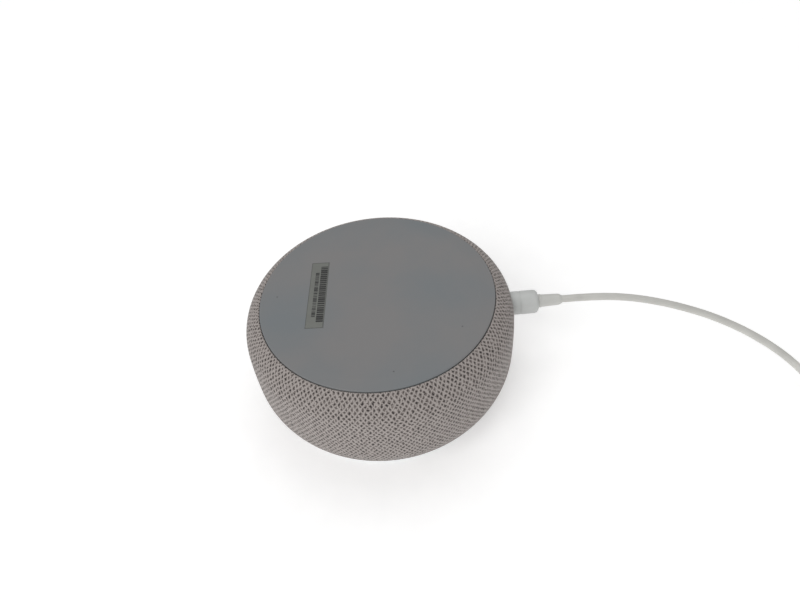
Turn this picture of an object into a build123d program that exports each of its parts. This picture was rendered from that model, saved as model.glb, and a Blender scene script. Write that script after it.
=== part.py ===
from build123d import *
import math
import os

# A puck-shaped smart speaker lying on its top face, with its power lead.
# Millimetres. Z = 0 is the floor, where the top plate with the buttons rests; the rubber foot faces up.
# X points out of the back of the body, along the power and audio sockets. The body's axis is Z.

# ---------------------------------------------------------------- driving sizes: outer form
HEIGHT = 44.0                    # floor to the foot's resting face
BODY_RADIUS = 49.5               # at the widest ring
WIDEST_BELOW_FOOT = 17.0         # how far the widest ring lies below the foot's face
BASE_FLANK_RADIUS = 144.3        # gentle arc next to the widest ring, on the foot side
BASE_FLANK_SWEEP = 2.305         # degrees
BASE_RIM_INSET = 6.4             # the foot-side rim lies this far inside the widest ring
BASE_RIM_DEPTH = 0.9
TOP_FLANK_RADIUS = 185.3         # the same three sizes towards the top plate
TOP_FLANK_SWEEP = 3.0
TOP_RIM_INSET = 7.5
TOP_RIM_HEIGHT = 2.0

# ---------------------------------------------------------------- driving sizes: skins and plates
FABRIC_THICKNESS = 0.8
GRILLE_THICKNESS = 1.6
GRILLE_SLOTS = 40
GRILLE_SLOT_WIDTH = 3.2
GRILLE_SLOT_ENDS = (12.5, 25.5)  # lowest and highest point of every slot
PLATE_THICKNESS = 2.0
PLATE_INSET = 10.5               # plate edge inside the widest ring
RING_FACE_HEIGHT = 0.4           # the light ring stands clear of the floor
RING_LIP = 1.9                   # backing lip behind the fabric's edge
GUIDE_WALL = 1.8                 # light guide wall that carries the LEDs' light
FOOT_THICKNESS = 1.5
FOOT_ROUND = 0.25                # rounding of the foot's edge
FOOT_TAPER_WIDTH = 5.0
FOOT_TAPER_DROP = 0.3
ADHESIVE_THICKNESS = 0.2
BASE_THICKNESS = 2.3
LABEL_SIZE = (6.5, 32.7, 0.1)
LABEL_CENTRE = (-21.4, 2.8)
LABEL_TURN = -3.0                # degrees

# ---------------------------------------------------------------- driving sizes: buttons and boards
BUTTON_HOLE_RADIUS = 5.0
BUTTON_CIRCLE_RADIUS = 20.0
BUTTON_FACE_HEIGHT = 0.3
BUTTON_FLANGE = 1.0              # how far the flange reaches past the hole
BUTTON_FLANGE_THICKNESS = 0.55
BUTTON_TRAVEL = 0.35
NIB_RADIUS = 0.85
NIB_ENGAGED = 0.15               # length of the nib inside its switch at rest
SYMBOL_DEPTH = 0.2
SWITCH_SIZE = 5.2
SWITCH_HEIGHT = 1.65
GASKET_HEIGHT = 4.0              # from top plate to microphone board
GASKET_RADIUS = 3.0
MICROPHONE_HOLE_RADIUS = 0.6
MIC_BOARD_THICKNESS = 1.2
MIC_BOARD_HEADROOM = 1.3
LED_COUNT = 12
LED_SIZE = (1.6, 2.4, 0.9)
MICROPHONE_SIZE = (3.5, 2.65, 1.0)
MAIN_BOARD_THICKNESS = 1.6
MAIN_BOARD_EDGE_GAP = 3.2
SHIELD_HEIGHT = 1.6
THERMAL_PAD_THICKNESS = 0.5
HEAT_SINK_THICKNESS = 1.8
RIBBON_WIDTH = 8.0
RIBBON_THICKNESS = 0.3
RIBBON_ANGLE = 150.0

# ---------------------------------------------------------------- driving sizes: chassis and screws
CHASSIS_THICKNESS = 1.8
POST_INSET = 12.0                # post axis inside the widest ring
POST_RADIUS = 2.5
POST_FOOT_RADIUS = 3.5
SCREW_RADIUS = 1.2
SCREW_HEAD_RADIUS = 2.2
SCREW_HEAD_HEIGHT = 1.1
SCREW_GRIP = 7.5
SMALL_SCREW_RADIUS = 0.8
SMALL_SCREW_HEAD_RADIUS = 1.5
SMALL_SCREW_HEAD_HEIGHT = 0.9
BOSS_RADIUS = 2.0
BOSS_FOOT_RADIUS = 3.0
DEFLECTOR_HEIGHT = 1.4
DEFLECTOR_RADIUS = 13.0

# ---------------------------------------------------------------- driving sizes: loudspeaker module
ACOUSTIC_GAP = 5.5               # open ring between chassis and loudspeaker
BAFFLE_THICKNESS = 1.5
CUP_WALL = 1.5
FOAM_THICKNESS = 0.5
DRIVER_RADIUS = 22.5
DRIVER_FLANGE = 1.2
DRIVER_GASKET = 0.5
DRIVER_SCREW_CIRCLE = 24.0
ROLL_RADIUS = 1.9                # outer radius of the surround's half roll
ROLL_THICKNESS = 0.5
COIL_RADIUS = 6.9
COIL_THICKNESS = 0.4
COIL_CLEARANCE = 0.2
MAGNET_RADIUS = 14.5
MAGNET_THICKNESS = 3.0
FRONT_PLATE_THICKNESS = 2.0
YOKE_THICKNESS = 1.5
CONE_THICKNESS = 0.5
CAP_HEIGHT = 2.2
CAP_THICKNESS = 0.4

# ---------------------------------------------------------------- driving sizes: sockets and plug
PORT_DROP = 3.5                  # socket axis below the main board
POWER_PORT_Y = 1.8
PORT_PITCH = 14.0                # power socket to audio socket
BEZEL_RADIUS = 6.2
BEZEL_LIP = 1.2
BEZEL_LIP_THICKNESS = 0.8
AUDIO_BORE_RADIUS = 1.8          # 3.5 mm stereo jack
AUDIO_BORE_LENGTH = 14.0
AUDIO_NOSE_RADIUS = 3.0
AUDIO_BODY = (12.0, 6.5, 6.5)
POWER_BODY = (12.5, 7.5, 7.0)
BARREL_RADIUS = 2.0              # 4.0 mm barrel plug
BARREL_WALL = 0.4
BARREL_BORE_RADIUS = 0.85        # 1.7 mm inner contact
BARREL_LENGTH = 9.6
PLUG_HOUSING_RADIUS = 4.4
PLUG_REACH = 9.5                 # housing outside the widest ring
PLUG_END_ROUND = 1.6             # rounding of the housing's outer end
PLUG_GRIP_LINE = (2.4, 0.5, 0.15)    # groove outside the widest ring: place, width, depth
PLUG_RELIEF_RADIUS = 2.35
PLUG_RELIEF_END_RADIUS = 2.1
PLUG_RELIEF_LENGTH = 9.0
PLUG_COLLAR = (2.5, 1.1)         # radius and length of the collar at the relief's root
RELIEF_NOSE = 1.2                # length of the relief's last taper

# ---------------------------------------------------------------- driving sizes: cord and adapter
CORD_DIAMETER = 2.8
# Route of the free cord from the plug's strain relief to the coil, chosen by hand.
CORD_POINTS = [
    (68.0, 1.8, 31.0),
    (81.0, 1.8, 31.0),
    (96.0, 1.7, 28.2),
    (111.0, 0.4, 23.6),
    (126.0, -2.4, 18.2),
    (140.0, -8.0, 12.6),
    (151.5, -17.0, 7.8),
    (159.0, -30.0, 3.8),
    (162.5, -46.0, 1.4),
    (164.6, -60.5, 1.4),
]
COIL_CENTRE = (184.0, -60.0)
COIL_MIDDLE_RADIUS = 16.8        # twelve cord diameters across at the middle of the turns
COIL_TURNS_WIDE = 3
COIL_TURNS_HIGH = 4
# Route from the coil's top turn to the adapter's strain relief.
TAIL_POINTS = [
    (197.9, -73.9, 9.8),
    (204.3, -66.3, 10.0),
    (208.0, -57.2, 11.2),
    (209.6, -47.8, 13.5),
    (209.6, -39.0, 13.5),
]
CORD_ARC_SHARE = 0.45            # share of the shorter run that an arc may use
ADAPTER_SIZE = (44.0, 44.0)
ADAPTER_CASE_HEIGHT = 21.0
ADAPTER_COVER_HEIGHT = 6.5
ADAPTER_WALL = 2.0
ADAPTER_CORNER = 8.0
ADAPTER_EDGE = 2.5
ADAPTER_RELIEF_LENGTH = 14.0
ADAPTER_RELIEF_RADIUS = 2.9
ADAPTER_RELIEF_GROOVES = 4
BLADE_SIZE = (1.5, 6.35)         # flat mains blades
BLADE_LENGTH = 16.5
BLADE_SPACING = 12.7
BLADE_ROOT = 3.0

# ---------------------------------------------------------------- clearances
BOND_GAP = 0.05                  # between pieces glued or pressed together
SLIP_GAP = 0.1                   # radial play of a sliding fit
EASY_GAP = 0.2                   # between parts that only pass each other
PORT_GAP = 0.4                   # plug housing in its opening

# ---------------------------------------------------------------- heights that follow from the sizes
WIDEST_Z = HEIGHT - WIDEST_BELOW_FOOT
FOOT_Z = HEIGHT - FOOT_THICKNESS
ADHESIVE_Z = FOOT_Z - ADHESIVE_THICKNESS
BASE_Z = ADHESIVE_Z - BASE_THICKNESS
HEAT_SINK_Z = BASE_Z - HEAT_SINK_THICKNESS
MAIN_BOARD_TOP = HEAT_SINK_Z - THERMAL_PAD_THICKNESS - SHIELD_HEIGHT
MAIN_BOARD_Z = MAIN_BOARD_TOP - MAIN_BOARD_THICKNESS
CUP_TOP = MAIN_BOARD_Z - FOAM_THICKNESS
PORT_Z = MAIN_BOARD_Z - PORT_DROP
MIC_BOARD_Z = PLATE_THICKNESS + GASKET_HEIGHT
MIC_BOARD_TOP = MIC_BOARD_Z + MIC_BOARD_THICKNESS
CHASSIS_Z = MIC_BOARD_TOP + MIC_BOARD_HEADROOM
CHASSIS_TOP = CHASSIS_Z + CHASSIS_THICKNESS
DRIVER_Z = CHASSIS_TOP + ACOUSTIC_GAP
GASKET_Z = DRIVER_Z + DRIVER_FLANGE
BAFFLE_Z = GASKET_Z + DRIVER_GASKET
BAFFLE_TOP = BAFFLE_Z + BAFFLE_THICKNESS
GROMMET_Z = DRIVER_Z + EASY_GAP
LIP_Z = TOP_RIM_HEIGHT + RING_LIP
GRILLE_Z = LIP_Z + SLIP_GAP

# ---------------------------------------------------------------- radii that follow from the sizes
POST_CIRCLE = BODY_RADIUS - POST_INSET
PLATE_RADIUS = BODY_RADIUS - PLATE_INSET
GUIDE_INNER_RADIUS = PLATE_RADIUS - GUIDE_WALL + 0.4
MIC_BOARD_RADIUS = GUIDE_INNER_RADIUS - 1.2
BOSS_CIRCLE = PLATE_RADIUS - 9.0
CUP_RADIUS = POST_CIRCLE - POST_FOOT_RADIUS - 2.0
LUG_RADIUS = 3.0
LUG_CIRCLE = CUP_RADIUS + 1.6
GRILLE_INSET = FABRIC_THICKNESS + BOND_GAP
GRILLE_INNER_INSET = GRILLE_INSET + GRILLE_THICKNESS
POST_ANGLES = [45, 135, 225, 315]
BOSS_ANGLES = [0, 90, 180, 270]
LUG_ANGLES = [15, 105, 195, 285]
BUTTON_ANGLES = {"volume_up": 0, "action": 90, "volume_down": 180, "mic_mute": 270}
AUDIO_PORT_Y = POWER_PORT_Y + PORT_PITCH


def save(name, shape):
    """Write one named piece."""
    export_step(shape, os.path.join("parts", name + ".step"))
    return shape


def group(solids):
    """Several separate solids that share one node."""
    return Compound(children=list(solids))


def around(radius, angle):
    """Point on a circle about the body's axis."""
    turn = math.radians(angle)
    return radius * math.cos(turn), radius * math.sin(turn)


def disc(radius, low, high, at=(0.0, 0.0)):
    """Upright cylinder between two heights."""
    base = Pos(at[0], at[1], low)
    return base * Cylinder(radius, high - low, align=(Align.CENTER, Align.CENTER, Align.MIN))


def ring(outer, inner, low, high, at=(0.0, 0.0)):
    """Upright tube between two heights."""
    return disc(outer, low, high, at) - disc(inner, low, high, at)


def block(size, low, at=(0.0, 0.0), turn=0.0):
    """Box standing on a height, turned about its own upright axis."""
    place = Pos(at[0], at[1], low) * Rot(0, 0, turn)
    return place * Box(*size, align=(Align.CENTER, Align.CENTER, Align.MIN))


def rod_x(radius, start, end, y, z):
    """Cylinder along X between two places."""
    turn = Pos(start, y, z) * Rot(0, 90, 0)
    return turn * Cylinder(radius, end - start, align=(Align.CENTER, Align.CENTER, Align.MIN))


def dome(rim_radius, height, rim_z):
    """Shallow ball segment standing on a rim; a negative height makes it hang."""
    ball = (rim_radius ** 2 + height ** 2) / (2 * abs(height))
    centre = rim_z + height - math.copysign(ball, height)
    return Pos(0, 0, centre) * Sphere(ball) & disc(rim_radius, *sorted((rim_z, rim_z + height)))


def turned(points):
    """Solid of revolution from a closed outline of (radius, height) points."""
    corners = [(radius, 0, height) for radius, height in points]
    return revolve(make_face(Polyline(*corners, close=True)), Axis.Z)


def shoulder(rim, flank_radius, sweep, side):
    """Centre and radius of the arc that leaves the flank arc smoothly and ends on the rim."""
    turn = math.radians(sweep)
    normal = (math.cos(turn), side * math.sin(turn))
    start = (BODY_RADIUS - flank_radius * (1 - normal[0]), WIDEST_Z + flank_radius * normal[1])
    chord = (rim[0] - start[0], rim[1] - start[1])
    along = chord[0] * normal[0] + chord[1] * normal[1]
    radius = -(chord[0] ** 2 + chord[1] ** 2) / (2 * along)
    return (start[0] - radius * normal[0], start[1] - radius * normal[1]), radius, normal


BASE_RIM = (BODY_RADIUS - BASE_RIM_INSET, HEIGHT - BASE_RIM_DEPTH)
TOP_RIM = (BODY_RADIUS - TOP_RIM_INSET, TOP_RIM_HEIGHT)
BASE_SHOULDER = shoulder(BASE_RIM, BASE_FLANK_RADIUS, BASE_FLANK_SWEEP, 1)
TOP_SHOULDER = shoulder(TOP_RIM, TOP_FLANK_RADIUS, TOP_FLANK_SWEEP, -1)


def arc_ends(inset):
    """Heights at which one arc of the outer form hands over to the next."""
    heights = []
    for (centre, radius, normal) in (TOP_SHOULDER, BASE_SHOULDER):
        heights.append(centre[1] + (radius - inset) * normal[1])
    return [heights[0], WIDEST_Z, heights[1]]


def wall_radius(height, inset=0.0):
    """Radius of the outer form at a height, moved inwards by a wall thickness."""
    low_end, _, high_end = arc_ends(inset)
    if height < low_end:
        (centre, radius, _) = TOP_SHOULDER
    elif height > high_end:
        (centre, radius, _) = BASE_SHOULDER
    elif height < WIDEST_Z:
        centre, radius = (BODY_RADIUS - TOP_FLANK_RADIUS, WIDEST_Z), TOP_FLANK_RADIUS
    else:
        centre, radius = (BODY_RADIUS - BASE_FLANK_RADIUS, WIDEST_Z), BASE_FLANK_RADIUS
    return centre[0] + math.sqrt((radius - inset) ** 2 - (height - centre[1]) ** 2)


def wall_line(inset, low, high):
    """The outer form's arcs between two heights, moved inwards."""
    heights = [low] + [z for z in arc_ends(inset) if low + 0.01 < z < high - 0.01] + [high]
    arcs = []
    for start, end in zip(heights, heights[1:]):
        places = [(wall_radius(z, inset), 0, z) for z in (start, (start + end) / 2, end)]
        arcs.append(ThreePointArc(*places))
    return arcs


def shell(outer_inset, inner_inset, low, high):
    """Skin that follows the outer form between two heights."""
    outer = wall_line(outer_inset, low, high)
    inner = wall_line(inner_inset, low, high)
    foot = Line(outer[0] @ 0, inner[0] @ 0)
    head = Line(outer[-1] @ 1, inner[-1] @ 1)
    return revolve(make_face(outer + inner + [foot, head]), Axis.Z)


def filled(inset, low, high):
    """Solid body that fills the outer form between two heights."""
    outer = wall_line(inset, low, high)
    foot = Line(outer[0] @ 0, (0, 0, low))
    axis = Line((0, 0, low), (0, 0, high))
    head = Line((0, 0, high), outer[-1] @ 1)
    return revolve(make_face(outer + [foot, axis, head]), Axis.Z)


# ================================================================ outer skins
def port_window(radius, start, end):
    """Round-ended opening that takes in both sockets, cut along X."""
    middle = POWER_PORT_Y + PORT_PITCH / 2
    outline = Plane.YZ.offset(start) * Pos(middle, PORT_Z) * SlotCenterToCenter(PORT_PITCH, 2 * radius)
    return extrude(outline, end - start)


WINDOW_START = BODY_RADIUS - 14.0
WINDOW_END = BODY_RADIUS + 2.0


def make_fabric_sleeve():
    sleeve = shell(0.0, FABRIC_THICKNESS, TOP_RIM_HEIGHT, FOOT_Z)
    return sleeve - port_window(BEZEL_RADIUS + BOND_GAP, WINDOW_START, WINDOW_END)


def make_grille_core():
    core = shell(GRILLE_INSET, GRILLE_INNER_INSET, GRILLE_Z, BASE_Z)
    low, high = GRILLE_SLOT_ENDS
    slots = []
    for index in range(GRILLE_SLOTS):
        angle = (index + 0.5) * 360 / GRILLE_SLOTS
        place = around(BODY_RADIUS, angle)
        slots.append(block((12.0, GRILLE_SLOT_WIDTH, high - low), low, place, angle))
    core -= slots
    return core - port_window(BEZEL_RADIUS + BOND_GAP, WINDOW_START, WINDOW_END)


def make_port_bezel():
    band = PORT_Z - BEZEL_RADIUS - BEZEL_LIP - 1.0, PORT_Z + BEZEL_RADIUS + BEZEL_LIP + 1.0
    lip_inset = GRILLE_INNER_INSET + BOND_GAP
    face = shell(0.0, lip_inset + BEZEL_LIP_THICKNESS / 2, *band)
    lip = shell(lip_inset, lip_inset + BEZEL_LIP_THICKNESS, *band)
    bezel = face & port_window(BEZEL_RADIUS, WINDOW_START, WINDOW_END)
    bezel += lip & port_window(BEZEL_RADIUS + BEZEL_LIP, WINDOW_START, WINDOW_END)
    bezel -= rod_x(PLUG_HOUSING_RADIUS + PORT_GAP, WINDOW_START, WINDOW_END, POWER_PORT_Y, PORT_Z)
    bezel -= rod_x(AUDIO_NOSE_RADIUS + BOND_GAP, WINDOW_START, WINDOW_END, AUDIO_PORT_Y, PORT_Z)
    return bezel


# ================================================================ top: plate, light ring, buttons
def make_top_plate():
    edge = 0.3
    plate = turned([
        (0, 0), (PLATE_RADIUS - edge, 0), (PLATE_RADIUS, edge), (PLATE_RADIUS, PLATE_THICKNESS),
        (0, PLATE_THICKNESS),
    ])
    for angle in BOSS_ANGLES:
        place = around(BOSS_CIRCLE, angle)
        plate += disc(BOSS_FOOT_RADIUS, PLATE_THICKNESS - edge, MIC_BOARD_Z, place)
        plate += disc(BOSS_RADIUS, MIC_BOARD_Z - edge, CHASSIS_Z, place)
        plate -= disc(SMALL_SCREW_RADIUS, PLATE_THICKNESS + edge, CHASSIS_Z, place)
    for angle in BUTTON_ANGLES.values():
        plate -= disc(BUTTON_HOLE_RADIUS, 0, PLATE_THICKNESS, around(BUTTON_CIRCLE_RADIUS, angle))
    for angle in POST_ANGLES:
        plate -= disc(MICROPHONE_HOLE_RADIUS, 0, PLATE_THICKNESS, around(BOSS_CIRCLE, angle))
    return plate


def make_light_ring():
    bore = PLATE_RADIUS + SLIP_GAP
    guide_outer = PLATE_RADIUS + 0.4
    face = wall_line(0.0, RING_FACE_HEIGHT, TOP_RIM_HEIGHT)
    lip = wall_line(GRILLE_INSET, TOP_RIM_HEIGHT, LIP_Z)
    rest = Polyline(
        lip[-1] @ 1, (guide_outer, 0, LIP_Z), (guide_outer, 0, CHASSIS_Z - EASY_GAP),
        (GUIDE_INNER_RADIUS, 0, CHASSIS_Z - EASY_GAP), (GUIDE_INNER_RADIUS, 0, PLATE_THICKNESS),
        (bore, 0, PLATE_THICKNESS), (bore, 0, RING_FACE_HEIGHT), face[0] @ 0,
    )
    step = Line(face[-1] @ 1, lip[0] @ 0)
    return revolve(make_face(face + [step] + lip + [rest]), Axis.Z)


def make_button(angle, symbol):
    """Cap, retaining flange and nib of one key; the symbol is sunk into its face."""
    place = around(BUTTON_CIRCLE_RADIUS, angle)
    flange_low = PLATE_THICKNESS + BOND_GAP
    flange_high = flange_low + BUTTON_FLANGE_THICKNESS
    switch_low = MIC_BOARD_Z - SWITCH_HEIGHT
    cap = disc(BUTTON_HOLE_RADIUS - SLIP_GAP, BUTTON_FACE_HEIGHT, flange_high, place)
    rim = cap.edges().filter_by(GeomType.CIRCLE).sort_by(Axis.Z)[0]
    cap = fillet(rim, 0.3)
    cap += disc(BUTTON_HOLE_RADIUS + BUTTON_FLANGE, flange_low, flange_high, place)
    cap += disc(NIB_RADIUS, flange_high - EASY_GAP, switch_low + NIB_ENGAGED, place)
    return cap - [Pos(place[0], place[1], BUTTON_FACE_HEIGHT) * cut for cut in symbol]


def groove(width, length, turn=0.0):
    return Rot(0, 0, turn) * Box(length, width, 2 * SYMBOL_DEPTH)


def circle_groove(radius, width):
    height = SYMBOL_DEPTH
    return ring(radius + width / 2, radius - width / 2, -height, height)


LINE = 0.55                      # width of the sunk symbols' strokes
SYMBOLS = {
    "volume_up": [groove(LINE, 4.0), groove(LINE, 4.0, 90)],
    "volume_down": [groove(LINE, 4.0)],
    "action": [circle_groove(1.9, LINE)],
    "mic_mute": [circle_groove(1.9, LINE), groove(LINE, 5.6, 45)],
}


def make_tact_switches():
    """Four low push switches; each has a bore for the nib above it."""
    low = MIC_BOARD_Z - SWITCH_HEIGHT
    bodies = []
    for angle in BUTTON_ANGLES.values():
        place = around(BUTTON_CIRCLE_RADIUS, angle)
        body = block((SWITCH_SIZE, SWITCH_SIZE, SWITCH_HEIGHT), low, place)
        depth = NIB_ENGAGED + BUTTON_TRAVEL + EASY_GAP
        bodies.append(body - disc(NIB_RADIUS + SLIP_GAP, low, low + depth, place))
    return group(bodies)


# ================================================================ microphone and light board
RIBBON_RADIUS = MIC_BOARD_RADIUS + 0.4
RIBBON_TURN = Rot(0, 0, RIBBON_ANGLE)
LOWER_CONNECTOR = RIBBON_RADIUS - 4.4
UPPER_CONNECTOR = RIBBON_RADIUS - 2.2
CONNECTOR_SIZE = (3.2, RIBBON_WIDTH + 2.0, 1.1)


def make_mic_board():
    board = disc(MIC_BOARD_RADIUS, MIC_BOARD_Z, MIC_BOARD_TOP)
    for angle in BOSS_ANGLES:
        board -= disc(BOSS_RADIUS + SLIP_GAP, MIC_BOARD_Z, MIC_BOARD_TOP, around(BOSS_CIRCLE, angle))
    for angle in POST_ANGLES:
        port = around(BOSS_CIRCLE, angle)
        board -= disc(MICROPHONE_HOLE_RADIUS, MIC_BOARD_Z, MIC_BOARD_TOP, port)
    return board


def make_ring_leds():
    leds = []
    for index in range(LED_COUNT):
        angle = (index + 0.5) * 360 / LED_COUNT
        place = around(MIC_BOARD_RADIUS - 1.0, angle)
        leds.append(block(LED_SIZE, MIC_BOARD_TOP, place, angle))
    return group(leds)


def make_microphones():
    cans = []
    for angle in POST_ANGLES:
        cans.append(block(MICROPHONE_SIZE, MIC_BOARD_TOP, around(BOSS_CIRCLE, angle), angle))
    return group(cans)


def make_mic_gaskets():
    rings = []
    for angle in POST_ANGLES:
        place = around(BOSS_CIRCLE, angle)
        rings.append(ring(GASKET_RADIUS, MICROPHONE_HOLE_RADIUS + 0.4, PLATE_THICKNESS, MIC_BOARD_Z, place))
    return group(rings)


def make_ribbon_connectors():
    lower = block(CONNECTOR_SIZE, MIC_BOARD_TOP, (LOWER_CONNECTOR, 0))
    upper = block(CONNECTOR_SIZE, MAIN_BOARD_Z - CONNECTOR_SIZE[2], (UPPER_CONNECTOR, 0))
    return group([RIBBON_TURN * lower, RIBBON_TURN * upper])


def make_ribbon_cable():
    """Flat cable from the microphone board up past the loudspeaker to the main board."""
    low = MIC_BOARD_TOP + CONNECTOR_SIZE[2] / 2
    high = MAIN_BOARD_Z - CONNECTOR_SIZE[2] / 2
    lower_end = LOWER_CONNECTOR + CONNECTOR_SIZE[0] / 2
    upper_end = UPPER_CONNECTOR + CONNECTOR_SIZE[0] / 2
    path = Polyline((lower_end, low), (RIBBON_RADIUS, low), (RIBBON_RADIUS, high), (upper_end, high))
    band = Plane.XZ * trace(path, RIBBON_THICKNESS)
    return RIBBON_TURN * extrude(band, RIBBON_WIDTH / 2, both=True)


# ================================================================ chassis
def make_chassis():
    radius = wall_radius(CHASSIS_Z, GRILLE_INNER_INSET) - EASY_GAP
    body = disc(radius, CHASSIS_Z, CHASSIS_TOP)
    body += dome(DEFLECTOR_RADIUS, DEFLECTOR_HEIGHT, CHASSIS_TOP)
    for angle in POST_ANGLES:
        place = around(POST_CIRCLE, angle)
        body += disc(POST_FOOT_RADIUS, CHASSIS_TOP - 0.1, GROMMET_Z, place)
        body += disc(POST_RADIUS, GROMMET_Z - 0.1, MAIN_BOARD_Z, place)
        body -= disc(SCREW_RADIUS, MAIN_BOARD_Z - SCREW_GRIP - 1.0, MAIN_BOARD_Z, place)
    for angle in BOSS_ANGLES:
        place = around(BOSS_CIRCLE, angle)
        body -= disc(SMALL_SCREW_RADIUS + SLIP_GAP, CHASSIS_Z, CHASSIS_TOP, place)
    slot = (2.4, RIBBON_WIDTH + 2.0, CHASSIS_THICKNESS)
    return body - RIBBON_TURN * block(slot, CHASSIS_Z, (RIBBON_RADIUS, 0))


DRIVE_SHARE = 0.45               # drive recess across, as a share of the head
DRIVE_DEPTH = 0.4


def screw(radius, head_radius, head_height, seat, length, place):
    """Pan-head screw whose head stands on a seat and whose shank points down."""
    head = disc(head_radius, seat, seat + head_height, place)
    crown = head.edges().filter_by(GeomType.CIRCLE).sort_by(Axis.Z)[-1]
    head = fillet(crown, 0.35 * head_height)
    hexagon = extrude(RegularPolygon(head_radius * DRIVE_SHARE, 6), DRIVE_DEPTH, both=True)
    drive = Pos(place[0], place[1], seat + head_height) * hexagon
    return head + disc(radius, seat - length, seat, place) - drive


def make_top_screws():
    screws = []
    for angle in BOSS_ANGLES:
        length = CHASSIS_THICKNESS + 4.0
        screws.append(screw(SMALL_SCREW_RADIUS, SMALL_SCREW_HEAD_RADIUS, SMALL_SCREW_HEAD_HEIGHT,
                            CHASSIS_TOP, length, around(BOSS_CIRCLE, angle)))
    return group(screws)


# ================================================================ loudspeaker module
def make_enclosure_baffle():
    plate = disc(CUP_RADIUS, BAFFLE_Z, BAFFLE_TOP)
    ear = POST_RADIUS + SLIP_GAP + 2.0
    for angle in POST_ANGLES:
        place = around(POST_CIRCLE, angle)
        arm = around((POST_CIRCLE + CUP_RADIUS) / 2 - 3, angle)
        plate += disc(ear, BAFFLE_Z, BAFFLE_TOP, place)
        plate += block((POST_CIRCLE - CUP_RADIUS + 6, 2 * ear, BAFFLE_THICKNESS), BAFFLE_Z, arm, angle)
    for angle in LUG_ANGLES:
        plate += disc(LUG_RADIUS, BAFFLE_Z, BAFFLE_TOP, around(LUG_CIRCLE, angle))
    for angle in POST_ANGLES:
        plate -= disc(POST_RADIUS + SLIP_GAP, BAFFLE_Z, BAFFLE_TOP, around(POST_CIRCLE, angle))
        driver_screw = around(DRIVER_SCREW_CIRCLE, angle)
        plate -= disc(SMALL_SCREW_RADIUS, BAFFLE_Z, BAFFLE_TOP, driver_screw)
    for angle in LUG_ANGLES:
        plate -= disc(SMALL_SCREW_RADIUS, BAFFLE_Z, BAFFLE_TOP, around(LUG_CIRCLE, angle))
    return plate - disc(DRIVER_RADIUS - 1.0, BAFFLE_Z, BAFFLE_TOP)


WIRE_RADIUS = 0.6
WIRE_SPACING = 2.0
WIRE_Y = CUP_RADIUS - 4.5


def make_enclosure_cup():
    cup = disc(CUP_RADIUS, BAFFLE_TOP, CUP_TOP)
    cup -= disc(CUP_RADIUS - CUP_WALL, BAFFLE_TOP, CUP_TOP - CUP_WALL)
    for angle in LUG_ANGLES:
        place = around(LUG_CIRCLE, angle)
        lug = disc(LUG_RADIUS, BAFFLE_TOP, BAFFLE_TOP + 2.0, place)
        cup += lug - disc(CUP_RADIUS - CUP_WALL / 2, BAFFLE_TOP, CUP_TOP)
        cup -= disc(SMALL_SCREW_RADIUS + SLIP_GAP, BAFFLE_TOP, BAFFLE_TOP + 2.0, place)
        cup -= disc(SMALL_SCREW_HEAD_RADIUS + SLIP_GAP, BAFFLE_TOP + 2.0, BAFFLE_TOP + 4.0, place)
    for side in (-1, 1):
        hole = (side * WIRE_SPACING / 2, WIRE_Y)
        cup -= disc(WIRE_RADIUS + BOND_GAP, CUP_TOP - CUP_WALL, CUP_TOP, hole)
    return cup


def make_module_screws():
    """Eight equal screws: four hold the cup, four hold the driver."""
    length = 3.4
    size = (SMALL_SCREW_RADIUS, SMALL_SCREW_HEAD_RADIUS, SMALL_SCREW_HEAD_HEIGHT)
    screws = [screw(*size, BAFFLE_TOP + 2.0, length, around(LUG_CIRCLE, angle)) for angle in LUG_ANGLES]
    for angle in POST_ANGLES:
        upright = screw(*size, 0.0, length - BAFFLE_THICKNESS + 1.0, (0.0, 0.0))
        place = around(DRIVER_SCREW_CIRCLE, angle)
        screws.append(Pos(place[0], place[1], DRIVER_Z) * Rot(180, 0, 0) * upright)
    return group(screws)


def driver_ears(low, high):
    ears = []
    for angle in POST_ANGLES:
        place = around(DRIVER_SCREW_CIRCLE, angle)
        hole = disc(SMALL_SCREW_RADIUS + SLIP_GAP, low, high, place)
        bridge = around(DRIVER_RADIUS, angle)
        ear = disc(2.4, low, high, place) + block((4.0, 4.8, high - low), low, bridge, angle)
        ears.append(ear - disc(DRIVER_RADIUS - 1.0, low, high) - hole)
    return ears


ROLL_CENTRE = DRIVER_RADIUS - 2.6 - ROLL_RADIUS
CONE_EDGE = ROLL_CENTRE - ROLL_RADIUS
SPIDER_Z = DRIVER_Z + 6.0
FRONT_PLATE_Z = DRIVER_Z + 9.2
MAGNET_Z = FRONT_PLATE_Z + FRONT_PLATE_THICKNESS
YOKE_Z = MAGNET_Z + MAGNET_THICKNESS
BASKET_BACK = MAGNET_RADIUS - 0.5
BASKET_LEDGE = BASKET_BACK - 0.8


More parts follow.
